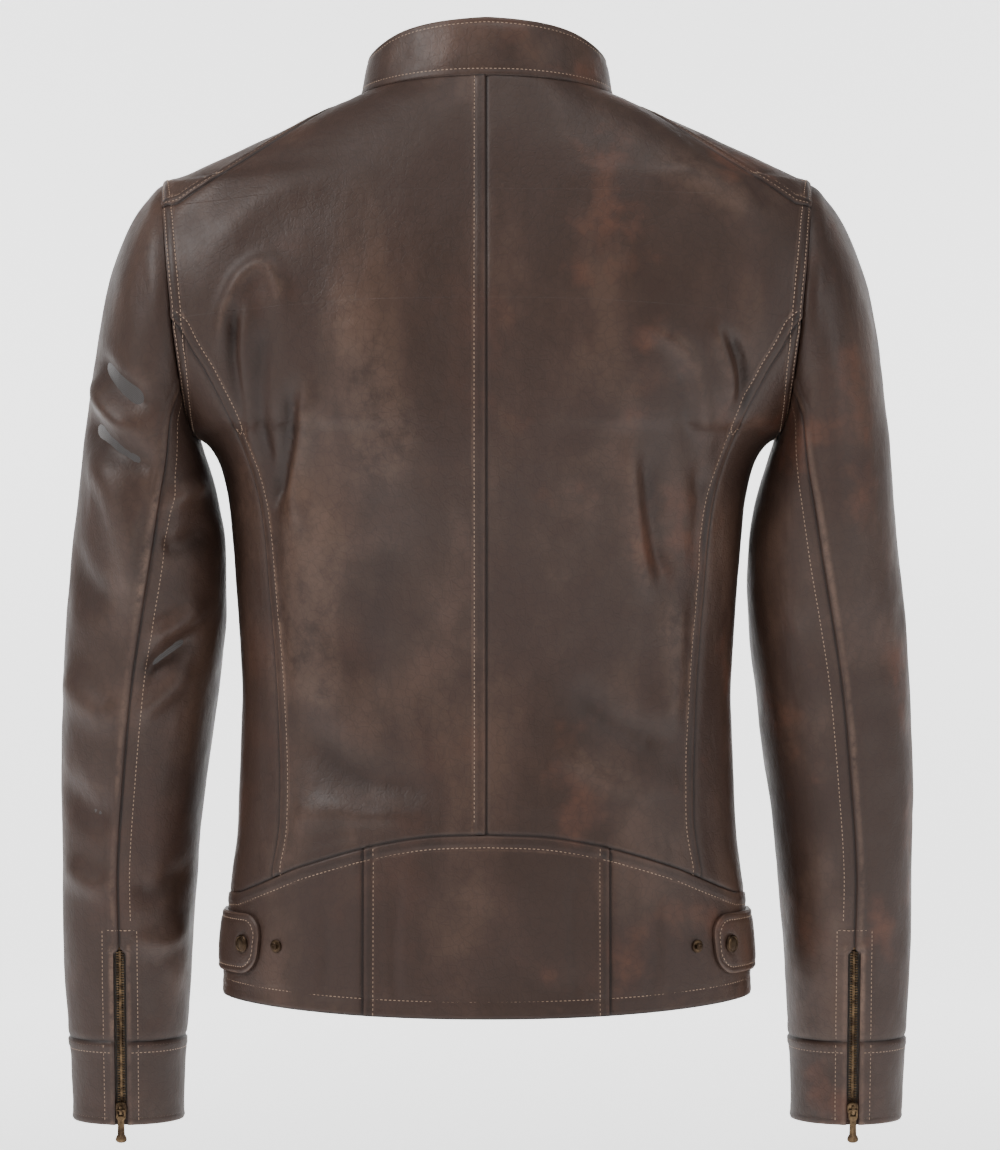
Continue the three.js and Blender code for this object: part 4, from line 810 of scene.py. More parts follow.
def bodyLeather(side, word):
    centreKind = "over" if side > 0 else "under"
    centreRows = (8.5,) if side > 0 else ()
    centreSeam = [("centre", centreKind, centreRows)]
    neckCorner = shoulderBackLine[-1]
    left = straight(archPart(0, 1)[0], (0, 1))
    rights = [princessLine, straight(princessLine[-1], shoulderBackLine[0]), shoulderBackLine]
    back = patchBetween(archPart(0, meetX), straight((0, 1), neckCorner), left, rights, 250, 96)
    leatherPanel(f"back_panel_{word}", [f"back_panel_{word}"],
                 [(side, 1, back, backSeams["back_panel"] + centreSeam)])
    sideTop = (1, sideUp(seamRoutes["princessTopZ"]))
    sideBack = patchBetween(archToSide[archToSide[:, 0] >= archMeet[0] - 1e-6],
                            straight(princessLine[-1], sideTop),
                            princessLine, [straight((1, archSideUp), sideTop)], 190, 34)
    stripTop = straight((1, seamTopUp), (1, seamTopUp))
    frontStrip = frontSideLine[frontSideLine[:, 1] >= archSideUp]
    frontPart = patchBetween(straight(frontStrip[0], (1, archSideUp)), stripTop, frontStrip,
                             [straight((1, archSideUp), (1, seamTopUp))], 140, 14)
    leatherPanel(f"side_panel_{word}", [f"side_panel_{word}"], [
        (side, 1, sideBack, backSeams["side_panel"]), (side, -1, frontPart, backSeams["side_strip"][:1])])
    lowerSide = patchBetween(straight(lowerSeamLine[0], (1, 0)), archToSide, lowerSeamLine,
                             [straight((1, 0), (1, archSideUp))], 50, 60)
    lowStrip = frontSideLine[frontSideLine[:, 1] < archSideUp]
    lowFront = patchBetween(straight(lowStrip[0], (1, 0)), straight(lowStrip[-1], (1, archSideUp)), lowStrip,
                            [straight((1, 0), (1, archSideUp))], 34, 14)
    leatherPanel(f"lower_back_panel_{word}", [f"lower_back_panel_{word}"], [
        (side, 1, lowerSide, backSeams["lower_side"]), (side, -1, lowFront, backSeams["side_strip"])],
        [hemFacing(side, 1, lowerSeamLine[0, 0], 1.0), hemFacing(side, -1, lowStrip[0, 0], 1.0)])
    zipAcross = float(bodyAcrossUp(-1, [cut["frontEdge"]], [-300])[0, 0])
    frontCorner = shoulderFrontLine[-1]
    rights = [frontSideLine, straight(frontSideLine[-1], shoulderFrontLine[0]), shoulderFrontLine]
    front = patchBetween(straight((zipAcross, 0), frontSideLine[0]), straight((zipAcross, 1), frontCorner),
                         straight((zipAcross, 0), (zipAcross, 1)), rights, 250, 110)
    leatherPanel(f"front_panel_{word}", [f"front_panel_{word}"],
                 [(side, -1, front, backSeams["front_panel"])],
                 [hemFacing(side, -1, zipAcross, frontSideLine[0, 0])])
    shoulderBack = patchBetween(straight(shoulderBackLine[0], (1, sideUp(seamRoutes["shoulderBackZ"]))),
                                straight(neckCorner, (1, 1)), shoulderBackLine,
                                [straight((1, sideUp(seamRoutes["shoulderBackZ"])), (1, 1))], 96, 24)
    shoulderFront = patchBetween(straight(shoulderFrontLine[0], (1, sideUp(seamRoutes["shoulderFrontZ"]))),
                                 straight(frontCorner, (1, 1)),
                                 shoulderFrontLine,
                                 [straight((1, sideUp(seamRoutes["shoulderFrontZ"])), (1, 1))], 96, 30)
    leatherPanel(f"shoulder_panel_{word}", [f"shoulder_panel_{word}"], [
        (side, 1, shoulderBack, backSeams["shoulder_back"]),
        (side, -1, shoulderFront, backSeams["shoulder_front"])])


for side, word in ((1, "left"), (-1, "right")):
    bodyLeather(side, word)
lowerCentre = patchBetween(straight((0, 0), lowerSeamLine[0]), archPart(0, seamRoutes["lowerSeamX"]),
                           straight((0, 0), archPart(0, 1)[0]), [lowerSeamLine], 56, 50)
leatherPanel("lower_back_panel_center", ["lower_back_panel_center"],
             [(s, 1, lowerCentre, backSeams["lower_centre"]) for s in (1, -1)],
             [hemFacing(s, 1, 0, lowerSeamLine[0, 0]) for s in (1, -1)])
print("body panels made")


# ---- rows of topstitching on the body

# A line moved sideways over a surface by a distance. surface(u, v) gives points and direction is 1 or -1
# so that direction * (du x dv) points outward. line holds u and v.
def shiftedLine(surface, direction, line, distance, limits, count=240):
    even = surface(line[:, 0], line[:, 1])
    run = np.concatenate([[0], np.cumsum(np.linalg.norm(np.diff(even, axis=0), axis=1))])
    at = np.linspace(0, run[-1], count)
    line = np.stack([np.interp(at, run, line[:, k]) for k in (0, 1)], -1)
    step = 1e-4

    def slopes(at):
        p = surface(at[:, 0], at[:, 1])
        return p, (p - surface(at[:, 0] - step,
                               at[:, 1])) / step, (p - surface(at[:, 0], at[:, 1] - step)) / step

    target, du, dv = slopes(line)
    normal = np.cross(du, dv) * direction
    lateral = np.cross(normal, np.gradient(target, axis=0))
    target = target + lateral / np.maximum(np.linalg.norm(lateral, axis=1, keepdims=True), 1e-9) * distance
    spot = line.copy()
    for _ in range(8):
        p, du, dv = slopes(spot)
        error = target - p
        uu, vv, uv = (du * du).sum(1), (dv * dv).sum(1), (du * dv).sum(1)
        eu, ev = (error * du).sum(1), (error * dv).sum(1)
        det = np.maximum(uu * vv - uv * uv, 1e-9)
        spot[:, 0] = np.clip(spot[:, 0] + (eu * vv - ev * uv) / det, limits[0][0], limits[0][1])
        spot[:, 1] = np.clip(spot[:, 1] + (ev * uu - eu * uv) / det, limits[1][0], limits[1][1])
    return spot


# seam, its distances, the panel it lies on, and the share of its length that is stitched.
bodyRows = [
    ("princess", (-7.5,), "back_panel", (0.0, 1.0)), ("arch", (9,), "lower_centre", (0.0, 1.0)),
    ("lower", (-7.5,), "lower_centre", (0.0, 1.0)), ("shoulderBack", (3, 8), "shoulder_back", (0.02, 1.0)),
    ("armBack", (-3, -9), "back_panel", (0.0, 1.0)), ("hemBack", (-12,), "lower_side", (0.0, 1.0)),
    ("shoulderFront", (-3, -8), "shoulder_front", (0.02, 1.0)),
    ("armFront", (3, 9), "front_panel", (0.0, 1.0)),
    ("side", (7,), "front_panel", (0.0, 1.0)), ("hemFront", (12,), "front_panel", (0.02, 1.0)),
    ("zipEdge", (-9,), "front_panel", (0.0, 1.0)),
]


def bodyStitches(side, word):
    lines = []
    rows = bodyRows + ([("centre", (8.5,), "back_panel", (0.0, 1.0))] if side > 0 else [])
    for seam, distances, piece, (start, stop) in rows:
        face, line = seamLines[seam]
        if seam == "centre":
            line = line[line[:, 1] > archPart(0, 1)[0, 1]]
        seams = backSeams[piece] + ([("centre", "over", (8.5,))] if seam == "centre" else [])
        for distance in distances:
            at = shiftedLine(lambda a, u: bodyPoint(face, a, u), -face, line, distance, ((0, 1), (0, 1)))
            count = len(at)
            at = at[int(start * count):max(int(stop * count), 2)]
            points, normals, _ = onLeather(side, face, at[None], seams)
            lines.append((mirror(points[0], side), mirror(normals[0], side)))
    stitches(f"body_stitches_{word}", "jacket_body", lines)


for side, word in ((1, "left"), (-1, "right")):
    bodyStitches(side, word)
print("body stitched")


# ---- collar

collar = {"height": 42, "sideHeight": 27, "frontHeight": 38, "rows": (4.0,), "frontEdge": 5.5,
          "facing": 1.6, "power": 1.4}
collarRise = stations([(0, collar["height"]), (0.45, collar["height"] - 4), (1, collar["sideHeight"]),
                       (1.5, (collar["sideHeight"] + collar["frontHeight"]) / 2 + 1),
                       (2, collar["frontHeight"])])
collarLean = stations([(0, 8), (0.5, 7), (1, 4.5), (1.6, 1.5), (2, 0)])
frontAcross = float(bodyAcrossUp(-1, [collar["frontEdge"]], [-82])[0, 0])


# around runs from 0 at the nape over 1 at the side of the neck to 2 at the front zip,
# and is below 0 on the right.
def collarPoint(around, up):
    half = np.abs(around)
    behind, ahead = bodyPoint(1, np.minimum(half, 1),
                              np.ones_like(half)), bodyPoint(-1, np.clip(2 - half, 0, 1), np.ones_like(half))
    base = np.where((half <= 1)[..., None], behind, ahead)
    toNeck = -base * [1, 1, 0]
    toNeck /= np.linalg.norm(toNeck, axis=-1, keepdims=True)
    top = base + toNeck * (collarLean(half) * up ** collar["power"])[..., None]
    top[..., 2] += collarRise(half) * up + 0.4 * (1 - up)
    ahead = np.clip((half - 1.5) / 0.5, 0, 1) ** 2
    top[..., 1] += (frontY(top[..., 2]) - frontY(base[..., 2])) * ahead
    top[..., 0] *= np.where(around < 0, -1, 1)
    return top


def onCollar(around, up):
    step = 1e-3
    points = collarPoint(around, up)
    n = np.cross(collarPoint(around + step, up) - collarPoint(around - step, up),
                 collarPoint(around, np.minimum(up + step, 1))
                 - collarPoint(around, np.maximum(up - step, 0)))
    n /= np.linalg.norm(n, axis=-1, keepdims=True)
    n = n * np.where((n * points * [1, 1, 0]).sum(-1, keepdims=True) < 0, -1, 1)
    rise = collarRise(np.abs(around))
    fromTop, fromBase = (1 - up) * rise, up * rise
    soft = softNoise(points, (40, 40, 26), 6.6) * 0.9 + softNoise(points, (12, 12, 12), 2.1) * 0.25
    height = soft * smoothStep(fromTop, 0, 12) * smoothStep(fromBase, 0, 12)
    wearAndShading = 0.55 * np.exp(-(fromTop / 2.0) ** 2)
    for gap in (fromTop, fromBase):
        row = collar["rows"][0]
        height = height - 0.42 * np.exp(-((gap - row) / 1.2) ** 2) + pucker(points, gap, row)
    height = height - 1.0 * np.exp(-(fromTop / 0.8) ** 2) + 0.5 * np.exp(-(fromBase / 5.0) ** 2)
    return points + n * height[..., None], n, wearAndShading


def makeCollar():
    end = 2 - frontAcross
    around, up = np.meshgrid(np.linspace(-end, end, 300), crowded(26, 0.7))
    points, normals, wearAndShading = onCollar(around, up)
    tucked = points[:1] - normals[:1] * 2.6 - [0, 0, 2.5]
    points, normals, wearAndShading = (np.concatenate([a, b]) for a,
                             b in ((tucked, points), (normals[:1], normals), (wearAndShading[:1], wearAndShading)))
    place(gridObject("collar_outer", leatherLayers(points, normals, wearAndShading, False, 2.2), leather),
          "jacket_body", "collar_outer")
    inner, innerNormals, innerWear = onCollar(around[::2, ::2], up[::2, ::2])
    facing = inner - innerNormals * 2.25
    layers = [(facing, False, innerWear), (facing - innerNormals * collar["facing"], True, innerWear)]
    for rows in (0, -1):
        layers.append((np.stack([facing[rows], facing[rows] - innerNormals[rows] * collar["facing"]]),
                       rows == -1, 0.2))
    for face, low in ((1, 0.0), (-1, frontAcross)):
        for side in (1, -1):
            across, rise = np.meshgrid(np.linspace(low, 1, 40), np.linspace(0.93, 1.0, 10))
            depth = np.linspace(panel["liningDepth"] - 0.3, 2.4, 10)[:, None, None]
            strip = bodyPoint(face, across, rise) - bodyNormal(face, across, rise) * depth
            layers.append((mirror(strip, side), face * side < 0, 0.0))
    place(gridObject("collar_facing", layers, leatherDark), "jacket_body", "collar_facing")
    lines = []
    along = np.linspace(-end + 0.02, end - 0.02, 500)
    for fromTop in (True, False):
        share = collar["rows"][0] / collarRise(np.abs(along))
        p, n, _ = onCollar(along, 1 - share if fromTop else share)
        lines.append((p, n))
    for sign in (-1, 1):
        p, n, _ = onCollar(np.full(30, sign * (end - 0.022)), np.linspace(0.1, 0.9, 30))
        lines.append((p, n))
    stitches("collar_stitches", "jacket_body", lines)


makeCollar()
print("collar made")


# ---- sleeves

# outer edge x and z, inner edge x and z, half depth, and y of the middle, from the armhole to the cuff.
sleeveRings = [
    (cut["armholeTopX"], cut["armholeTopZ"], armpitX, armpitZ, cut["armholeRadius"], 0),
    (251, -90, 209.5, -252, 91, 0), (269, -131, 206, -259, 90, -1), (281, -188, 200, -273, 88, -3),
    (289, -245, 193.5, -295, 84, -5), (295, -305, 188.5, -325, 80, -8), (301, -362, 187, -368, 73, -11),
    (304.5, -405, 189.5, -405, 68, -14), (309, -490, 203, -490, 62, -22), (308.5, -536, 209, -536, 58, -26),
    (308, -620, 215.5, -620, 51, -34), (304, -706, 220.5, -706, 46, -40), (303, -746, 221, -746, 44, -43),
]
sleeve = {
    "cuffSeam": -685, "cuffEdge": -746, "zipX": 263, "zipTop": -618, "zipGap": 4.5, "boxTop": -604,
    "boxHalf": 12.5,
    "liningDepth": 5.5, "bendX": 0.247, "bendY": -0.014, "bendStart": -0.335, "bendEnd": -0.475,
    "hind": [(214, -213), (217, -225), (221, -240), (224, -270), (230, -306), (236, -342),
             (244, -386), (251, -429),
             (258, -497), (263, -561), (263, -605), (263, -760)],
    "fore": [(214, -222), (216, -240), (220, -290), (228, -350), (235, -405), (243, -500),
             (248, -600), (252, -760)],
}
ringCurves = [stations(list(enumerate(column))) for column in zip(*sleeveRings)]
sleeveFolds = {1: leftSleeveFolds, -1: rightSleeveFolds}


def sleevePoint(ring, turn):
    outerX, outerZ, innerX, innerZ, depth, middle = [curve(ring) for curve in ringCurves]
    return np.stack([(outerX + innerX) / 2 + (outerX - innerX) / 2 * np.cos(turn),
                     middle + depth * np.sin(turn),
                     (outerZ + innerZ) / 2 + (outerZ - innerZ) / 2 * np.cos(turn)], -1)


def sleeveNormal(ring, turn):
    step = 1e-3
    n = np.cross(sleevePoint(ring, turn + step) - sleevePoint(ring, turn - step),
                 sleevePoint(np.minimum(ring + step, 12), turn)
                 - sleevePoint(np.maximum(ring - step, 0), turn))
    return -n / np.maximum(np.linalg.norm(n, axis=-1, keepdims=True), 1e-9)


# The turn at which a seam given in x and z crosses each ring.
# back is 1 on the back of the arm and -1 on its front.
def seamTurn(ring, route, back):
    outerX, outerZ, innerX, innerZ, _, _ = [curve(ring)[:, None] for curve in ringCurves]
    z = np.linspace(route[-1][1], route[0][1], 3000)
    x = stations([(height, x) for x, height in route[::-1]])(z)
    reachX, reachZ = (outerX - innerX) / 2, (outerZ - innerZ) / 2
    offX, offZ = x[None] - (outerX + innerX) / 2, z[None] - (outerZ + innerZ) / 2
    best = np.abs(offX * reachZ - offZ * reachX).argmin(1)
    rows = np.arange(len(ring))
    cosine = (offX[rows, best] * reachX[:, 0] + offZ[rows, best]
              * reachZ[:, 0]) / (reachX**2 + reachZ**2)[:, 0]
    return back * np.arccos(np.clip(cosine, -1, 1))


# Rings evenly spaced down the sleeve between two heights of its middle.
def ringsBetween(high, low, step):
    fine = np.linspace(0, 12, 2000)
    middle = sleevePoint(fine, np.full(2000, np.pi / 2))[:, 2]
    outer = sleevePoint(fine, np.zeros(2000))
    run = np.concatenate([[0], np.cumsum(np.linalg.norm(np.diff(outer, axis=0), axis=1))])
    first, last = np.interp([-high, -low], -middle, run)
    return np.interp(np.linspace(first, last, int((last - first) / step) + 2), run, fine)


allRings = ringsBetween(armCentreZ, sleeve["cuffEdge"], 4.0)
hindLine = sleevePoint(allRings, seamTurn(allRings, sleeve["hind"], 1))
foreLine = sleevePoint(allRings, seamTurn(allRings, sleeve["fore"], -1))
armLine = sleevePoint(np.zeros(90), np.linspace(0, 2 * np.pi, 90))


def backTurn(ring, x):
    outerX, _, innerX, _, _, _ = [curve(ring) for curve in ringCurves]
    return np.arccos(np.clip((x - (outerX + innerX) / 2) / ((outerX - innerX) / 2), -1, 1))


boxRings = ringsBetween(sleeve["boxTop"], -743, 3.0)
boxSides = [sleevePoint(boxRings, backTurn(boxRings, np.full(len(boxRings), sleeve["zipX"]
                                                             + s * sleeve["boxHalf"]))) for s in (1, -1)]
boxLine = np.concatenate([boxSides[0][::-1], boxSides[1]])
cuffRing = ringsBetween(sleeve["cuffSeam"], sleeve["cuffSeam"] - 1, 1.0)[0]


def onSleeve(side, ring, turn, part):
    points, normals = sleevePoint(ring, turn), sleeveNormal(ring, turn)
    mirrored = mirror(points, side)
    hind, _ = lineDistance(points, hindLine)
    fore, _ = lineDistance(points, foreLine)
    arm, _ = lineDistance(points, armLine)
    box, _ = lineDistance(points, boxLine)
    cuffGap = np.abs(points[..., 2] - sleeve["cuffSeam"])
    edgeGap = points[..., 2] - sleeve["cuffEdge"]
    slit = np.abs(points[..., 0] - sleeve["zipX"]) - sleeve["zipGap"]
    slitGap = np.where((points[..., 2] < sleeve["zipTop"] + 4) & (normals[..., 1] > 0),
                       np.maximum(slit, 0), 99)
    calm = smoothStep(np.minimum(np.minimum(hind, fore), arm), 0,
                      16) * smoothStep(np.minimum(cuffGap, edgeGap), 0, 14)
    soft = softness(mirrored, normals, sleeveFolds[side], 1) * 1.25
    soft += foldHeight(mirrored * [1, -1, 1],
                       sleeveFolds[side]) * smoothStep(-normals[..., 1], 0.05, 0.5) * 0.8
    elbow = np.sin(points[..., 2] / 8.5 + 2.2 * softNoise(mirrored, (40, 40, 60),
                                                          4.0)) * np.exp(-((points[..., 2] + 405) / 60) ** 2)
    soft += 1.1 * elbow * smoothStep(-normals[..., 1], 0.0,
                                     0.7) + 0.5 * elbow * smoothStep(normals[..., 1], 0.2, 0.9)
    high = part == "top"
    relief = seamProfile(hind, "over" if high else "under",
                         (8.5,) if high else ()) * (points[..., 2] > sleeve["zipTop"])
    relief += seamProfile(fore, "under" if high else "over", () if high else (7,))
    relief += seamProfile(arm,
                          "under") + 1.3 * np.exp(-((arm
                                                     - 9) / 7) ** 2) * smoothStep(points[..., 2], -230, -120)
    band = part == "band"
    relief += seamProfile(cuffGap, "over" if band else "under", (3, 8) if band else ())
    relief += -0.42 * np.exp(-(box / 1.25) ** 2) * (normals[..., 1] > 0) + pucker(mirrored, box, 0)
    relief += 0.55 * np.exp(-((slitGap
                               - 2.2) / 2.4) ** 2) - 0.42 * np.exp(-((edgeGap - 5) / 1.25) ** 2) * band
    relief -= 0.8 * np.exp(-(edgeGap / 0.9) ** 2)
    # Rubbed edges beside the hind seam, at the cuff and at the slit; painted shade in the seam grooves;
    # painted highlight and shade on the folds.
    wearAndShading = (0.5 * np.exp(-((hind - 4) / 2.6) ** 2) * high + 0.6 * np.exp(-(edgeGap / 2.2) ** 2) * band
            + 0.5 * np.exp(-((slitGap - 2) / 2) ** 2)
            - 0.9 * np.exp(-(np.minimum(hind, cuffGap) / 1.1) ** 2) + 0.10 * np.clip(soft, -3, 3))
    height = soft * calm + relief
    return points + normals * height[..., None], normals, np.clip(wearAndShading, -1, 1)


# The turns of the two edges of the top and under sleeve, with the zip's slit left out.
def sleeveEdges(rings, part):
    hind, fore = seamTurn(rings, sleeve["hind"], 1), seamTurn(rings, sleeve["fore"], -1)
    height = sleevePoint(rings, hind)[:, 2]
    open_ = sleeve["zipGap"] * smoothStep(sleeve["zipTop"] - height, -1.5, 2.5)
    outward = 1 if part == "top" else -1
    slit = backTurn(rings, sleeve["zipX"] + outward * open_)
    hind = np.where(height < sleeve["zipTop"] + 2, slit, hind)
    return (fore, hind) if part == "top" else (hind, fore + 2 * np.pi)


# Bakes the piece's placement into its mesh; no bend at the elbow is made.
def bend(piece):
    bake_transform(piece)


def sleeveLayers(side, rings, edges, part, cols):
    share = crowded(cols, 0.75)[None]
    turn = edges[0][:, None] * (1 - share) + edges[1][:, None] * share
    ring = np.broadcast_to(rings[:, None], turn.shape)
    points, normals, wearAndShading = onSleeve(side, ring, turn, part)
    return leatherLayers(mirror(points, side), mirror(normals, side), wearAndShading, side > 0, panel["thickness"])


def makeSleeve(side, word):
    rings = np.concatenate([[0], ringsBetween(armCentreZ, sleeve["cuffSeam"], 2.5)[1:]])
    for part, cols in (("top", 110), ("under", 104)):
        piece = gridObject(f"sleeve_{part}_{word}",
                           sleeveLayers(side, rings, sleeveEdges(rings, part), part, cols), leather)
        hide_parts(f"sleeve_{part}_upper_{word}", f"sleeve_{part}_lower_{word}")
        bend(piece)
    rings = ringsBetween(sleeve["cuffSeam"], sleeve["cuffEdge"], 2.0)
    fore = seamTurn(rings, sleeve["fore"], -1)
    layers = []
    for part in ("top", "under"):
        layers += sleeveLayers(side, rings, sleeveEdges(rings, part), "band", 80)
    turn = np.linspace(0, 2 * np.pi, 120)[None] + fore[:1, None]
    ring = ringsBetween(sleeve["cuffEdge"] + 34, sleeve["cuffEdge"], 5.0)[:, None] + 0 * turn
    turn = turn + 0 * ring
    depth = np.linspace(sleeve["liningDepth"], panel["thickness"], ring.shape[0])[:, None, None]
    turnUp = sleevePoint(ring, turn) - sleeveNormal(ring, turn) * depth
    clear = (np.abs(turnUp[..., 0] - sleeve["zipX"]) > 6) | (turnUp[..., 1] < 0)
    keep = np.flatnonzero(clear.all(0))
    start = np.flatnonzero(np.diff(keep) > 1)
    order = np.concatenate([keep[start[0] + 1:], keep[:start[0] + 1]]) if len(start) else keep
    layers.append((mirror(turnUp[:, order], side), side < 0, 0.0))
    place(gridObject(f"cuff_band_{word}", layers, leather), f"forearm_sleeve_{word}", f"cuff_band_{word}")


def sleeveLining(side, word):
    rings = np.concatenate([[0], ringsBetween(armCentreZ, sleeve["cuffEdge"] + 34, 8.0)[1:]])
    hind = backTurn(rings, np.full(len(rings), float(sleeve["zipX"])))
    height = sleevePoint(rings, hind)[:, 2]
    gap = np.where(height < sleeve["zipTop"] + 10, 12 / 45, 0.0)
    share = np.linspace(0, 1, 64)[None]
    turn = (hind + gap)[:, None] * (1 - share) + (hind - gap + 2 * np.pi)[:, None] * share
    ring = rings[:, None] + 0 * turn
    points, normals = sleevePoint(ring, turn), sleeveNormal(ring, turn)
    wrinkle = softNoise(points, (30, 30, 40), 8.0)[..., None] * 0.6
    outer = points - normals * (sleeve["liningDepth"] + wrinkle)
    layers = [(mirror(outer, side), side > 0, 0.0), (mirror(outer - normals * 0.7, side), side < 0, 0.0)]
    piece = gridObject(f"sleeve_lining_{word}", layers, lining)
    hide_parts(f"sleeve_lining_{word}")
    bend(piece)


def sleeveStitches(side, word):
    rings = ringsBetween(armCentreZ, sleeve["cuffSeam"], 4.0)
    hind = np.stack([rings, seamTurn(rings, sleeve["hind"], 1)], -1)
    height = sleevePoint(hind[:, 0], hind[:, 1])[:, 2]
    fore = np.stack([rings, seamTurn(rings, sleeve["fore"], -1)], -1)
    limits = ((0, 12), (-10, 10))
    rows = [("top", shiftedLine(sleevePoint, 1, hind[height > sleeve["boxTop"] + 4], 8.5, limits)),
            ("under", shiftedLine(sleevePoint, 1, fore, 7, limits))]
    bending, riding = [], []
    boxes = [np.stack([boxRings, backTurn(boxRings,
                                          np.full(len(boxRings), sleeve["zipX"] + s * sleeve["boxHalf"]))],
                                          -1)
             for s in (1, -1)]
    top = np.linspace(boxes[0][0], boxes[1][0], 20)
    for route in (boxes[0], boxes[1], top):
        edge = sleevePoint(route[:, 0], route[:, 1])[:, 2]
        rows.append(("top", route[edge > sleeve["cuffSeam"] + 1]))
        if (edge < sleeve["cuffSeam"]).any():
            riding.append(("band", route[edge < sleeve["cuffSeam"] - 1]))
    around = np.linspace(sleeveEdges(np.array([cuffRing]), "under")[0][0] + 0.06,
                         sleeveEdges(np.array([cuffRing]), "top")[1][0] + 2 * np.pi - 0.06, 260)
    for drop in (3, 8, 56):
        ring = ringsBetween(sleeve["cuffSeam"] - drop, sleeve["cuffSeam"] - drop - 1, 1.0)[0]
        riding.append(("band", np.stack([np.full(260, ring), around], -1)))
    for part, row in rows:
        if len(row) > 1:
            points, normals, _ = onSleeve(side, row[:, 0], row[:, 1], part)
            bending.append((mirror(points, side), mirror(normals, side)))
    piece = stitches(f"sleeve_stitches_{word}", None, bending)
    bend(piece)
    lines = []
    for part, row in riding:
        points, normals, _ = onSleeve(side, row[:, 0], row[:, 1], part)
        lines.append((mirror(points, side), mirror(normals, side)))
    stitches(f"cuff_stitches_{word}", f"forearm_sleeve_{word}", lines)


for side, word in ((1, "left"), (-1, "right")):
    makeSleeve(side, word)
    sleeveLining(side, word)
    sleeveStitches(side, word)
print("sleeves made")


# ---- lining of the body

def bodyLining(side, word):
    layers = []
    for face, low in ((1, 0.002), (-1, 0.22)):
        across, up = np.meshgrid(np.linspace(low, 1, 60),
                                 np.linspace(panel["hemFold"] / sideRise, 0.945, 110))
        points, normals = bodyPoint(face, across, up), bodyNormal(face, across, up)
        wrinkle = softNoise(mirror(points, side), (60, 60, 34),
                            5.0) * 0.5 + softNoise(points, (14, 14, 40), 2.0) * 0.15
        depth = (panel["liningDepth"] + np.clip(wrinkle, -0.5, 0.6))[..., None]
        flip = face * side > 0
        layers += [(mirror(points - normals * depth, side), flip, 0.0),
                   (mirror(points - normals * (depth + 0.7), side), not flip, 0.0)]
    place(gridObject(f"body_lining_{word}", layers, lining), "jacket_body", f"body_lining_{word}")


# ---- solid shapes for the metal

def lineFrame(top, bottom, outward):
    z = (top - bottom) / np.linalg.norm(top - bottom)
    x = np.cross(outward, z)
    x /= np.linalg.norm(x)
    return {"origin": bottom, "axes": np.array([x, np.cross(z, x), z]),
            "length": float(np.linalg.norm(top - bottom))}


def inFrame(frame, local):
    return frame["origin"] + np.asarray(local, float) @ frame["axes"]


# An outline in x and z made solid from y low to y high, with its edges rounded by bevel.
def prism(outline, low, high, bevel, axes=(0, 1, 2)):
    o = np.array(outline, float)
    if (o[:, 0] * np.roll(o[:, 1], -1) - np.roll(o[:, 0], -1) * o[:, 1]).sum() < 0:
        o = o[::-1]
    ahead, behind = np.roll(o, -1, 0) - o, o - np.roll(o, 1, 0)
    ahead /= np.maximum(np.linalg.norm(ahead, axis=1, keepdims=True), 1e-9)
    behind /= np.maximum(np.linalg.norm(behind, axis=1, keepdims=True), 1e-9)
    inward = np.stack([-(ahead + behind)[:, 1], (ahead + behind)[:, 0]], -1)
    inward /= np.maximum(np.linalg.norm(inward, axis=1, keepdims=True), 1e-9)
    rings = [(bevel, low), (bevel * 0.3, low + bevel * 0.3), (0, low + bevel), (0, high - bevel),
             (bevel * 0.3, high - bevel * 0.3), (bevel, high)]
    verts = np.concatenate([np.stack([(o + inward * inset)[:, 0], np.full(len(o), y),
                                      (o + inward * inset)[:, 1]], -1)
                            for inset, y in rings])
    n = len(o)
    faces = [(r * n + i, (r + 1) * n + i, (r + 1) * n + (i + 1) % n, r * n + (i + 1) % n)
             for r in range(5) for i in range(n)]
    faces += [tuple(range(n)), tuple(range(6 * n - 1, 5 * n - 1, -1))]
    verts = verts[:, list(axes)]
    if sum(axes[i] > axes[j] for i in range(3) for j in range(i + 1, 3)) % 2:
        faces = [face[::-1] for face in faces]
    return verts, faces


def joinShapes(shapes):
    verts, faces = [], []
    for v, f in shapes:
        faces += [tuple(i + len(verts) for i in face) for face in f]
        verts += list(v)
    return np.array(verts), faces


# A profile of (radius, height) pairs turned about y.
def turnedShape(profile, count=40):
    turn = np.linspace(0, 2 * np.pi, count, endpoint=False)
    verts, faces = [], []
    for r, h in profile:
        verts += [(r * math.cos(t), h, r * math.sin(t)) for t in turn]
    for ring in range(len(profile) - 1):
        for i in range(count):
            a, b = ring * count + i, ring * count + (i + 1) % count
            faces.append((a, a + count, b + count, b))
    faces.append(tuple(range(count)))
    faces.append(tuple(range(len(verts) - 1, len(verts) - 1 - count, -1)))
    return np.array(verts), faces


# A shape in a frame, mirrored to the other side of the jacket where side is -1.
def solidPiece(name, shape, frame, side, material, body, nodes=()):
    verts, faces = shape
    if side < 0:
        faces = [face[::-1] for face in faces]
    piece = makeObject(name, mirror(inFrame(frame, verts), side), faces, material)
    for polygon in piece.data.polygons:
        polygon.use_smooth = len(polygon.vertices) <= 4
    piece.data.set_sharp_from_angle(angle=math.radians(40))
    return place(piece, body, *nodes)


# ---- zips

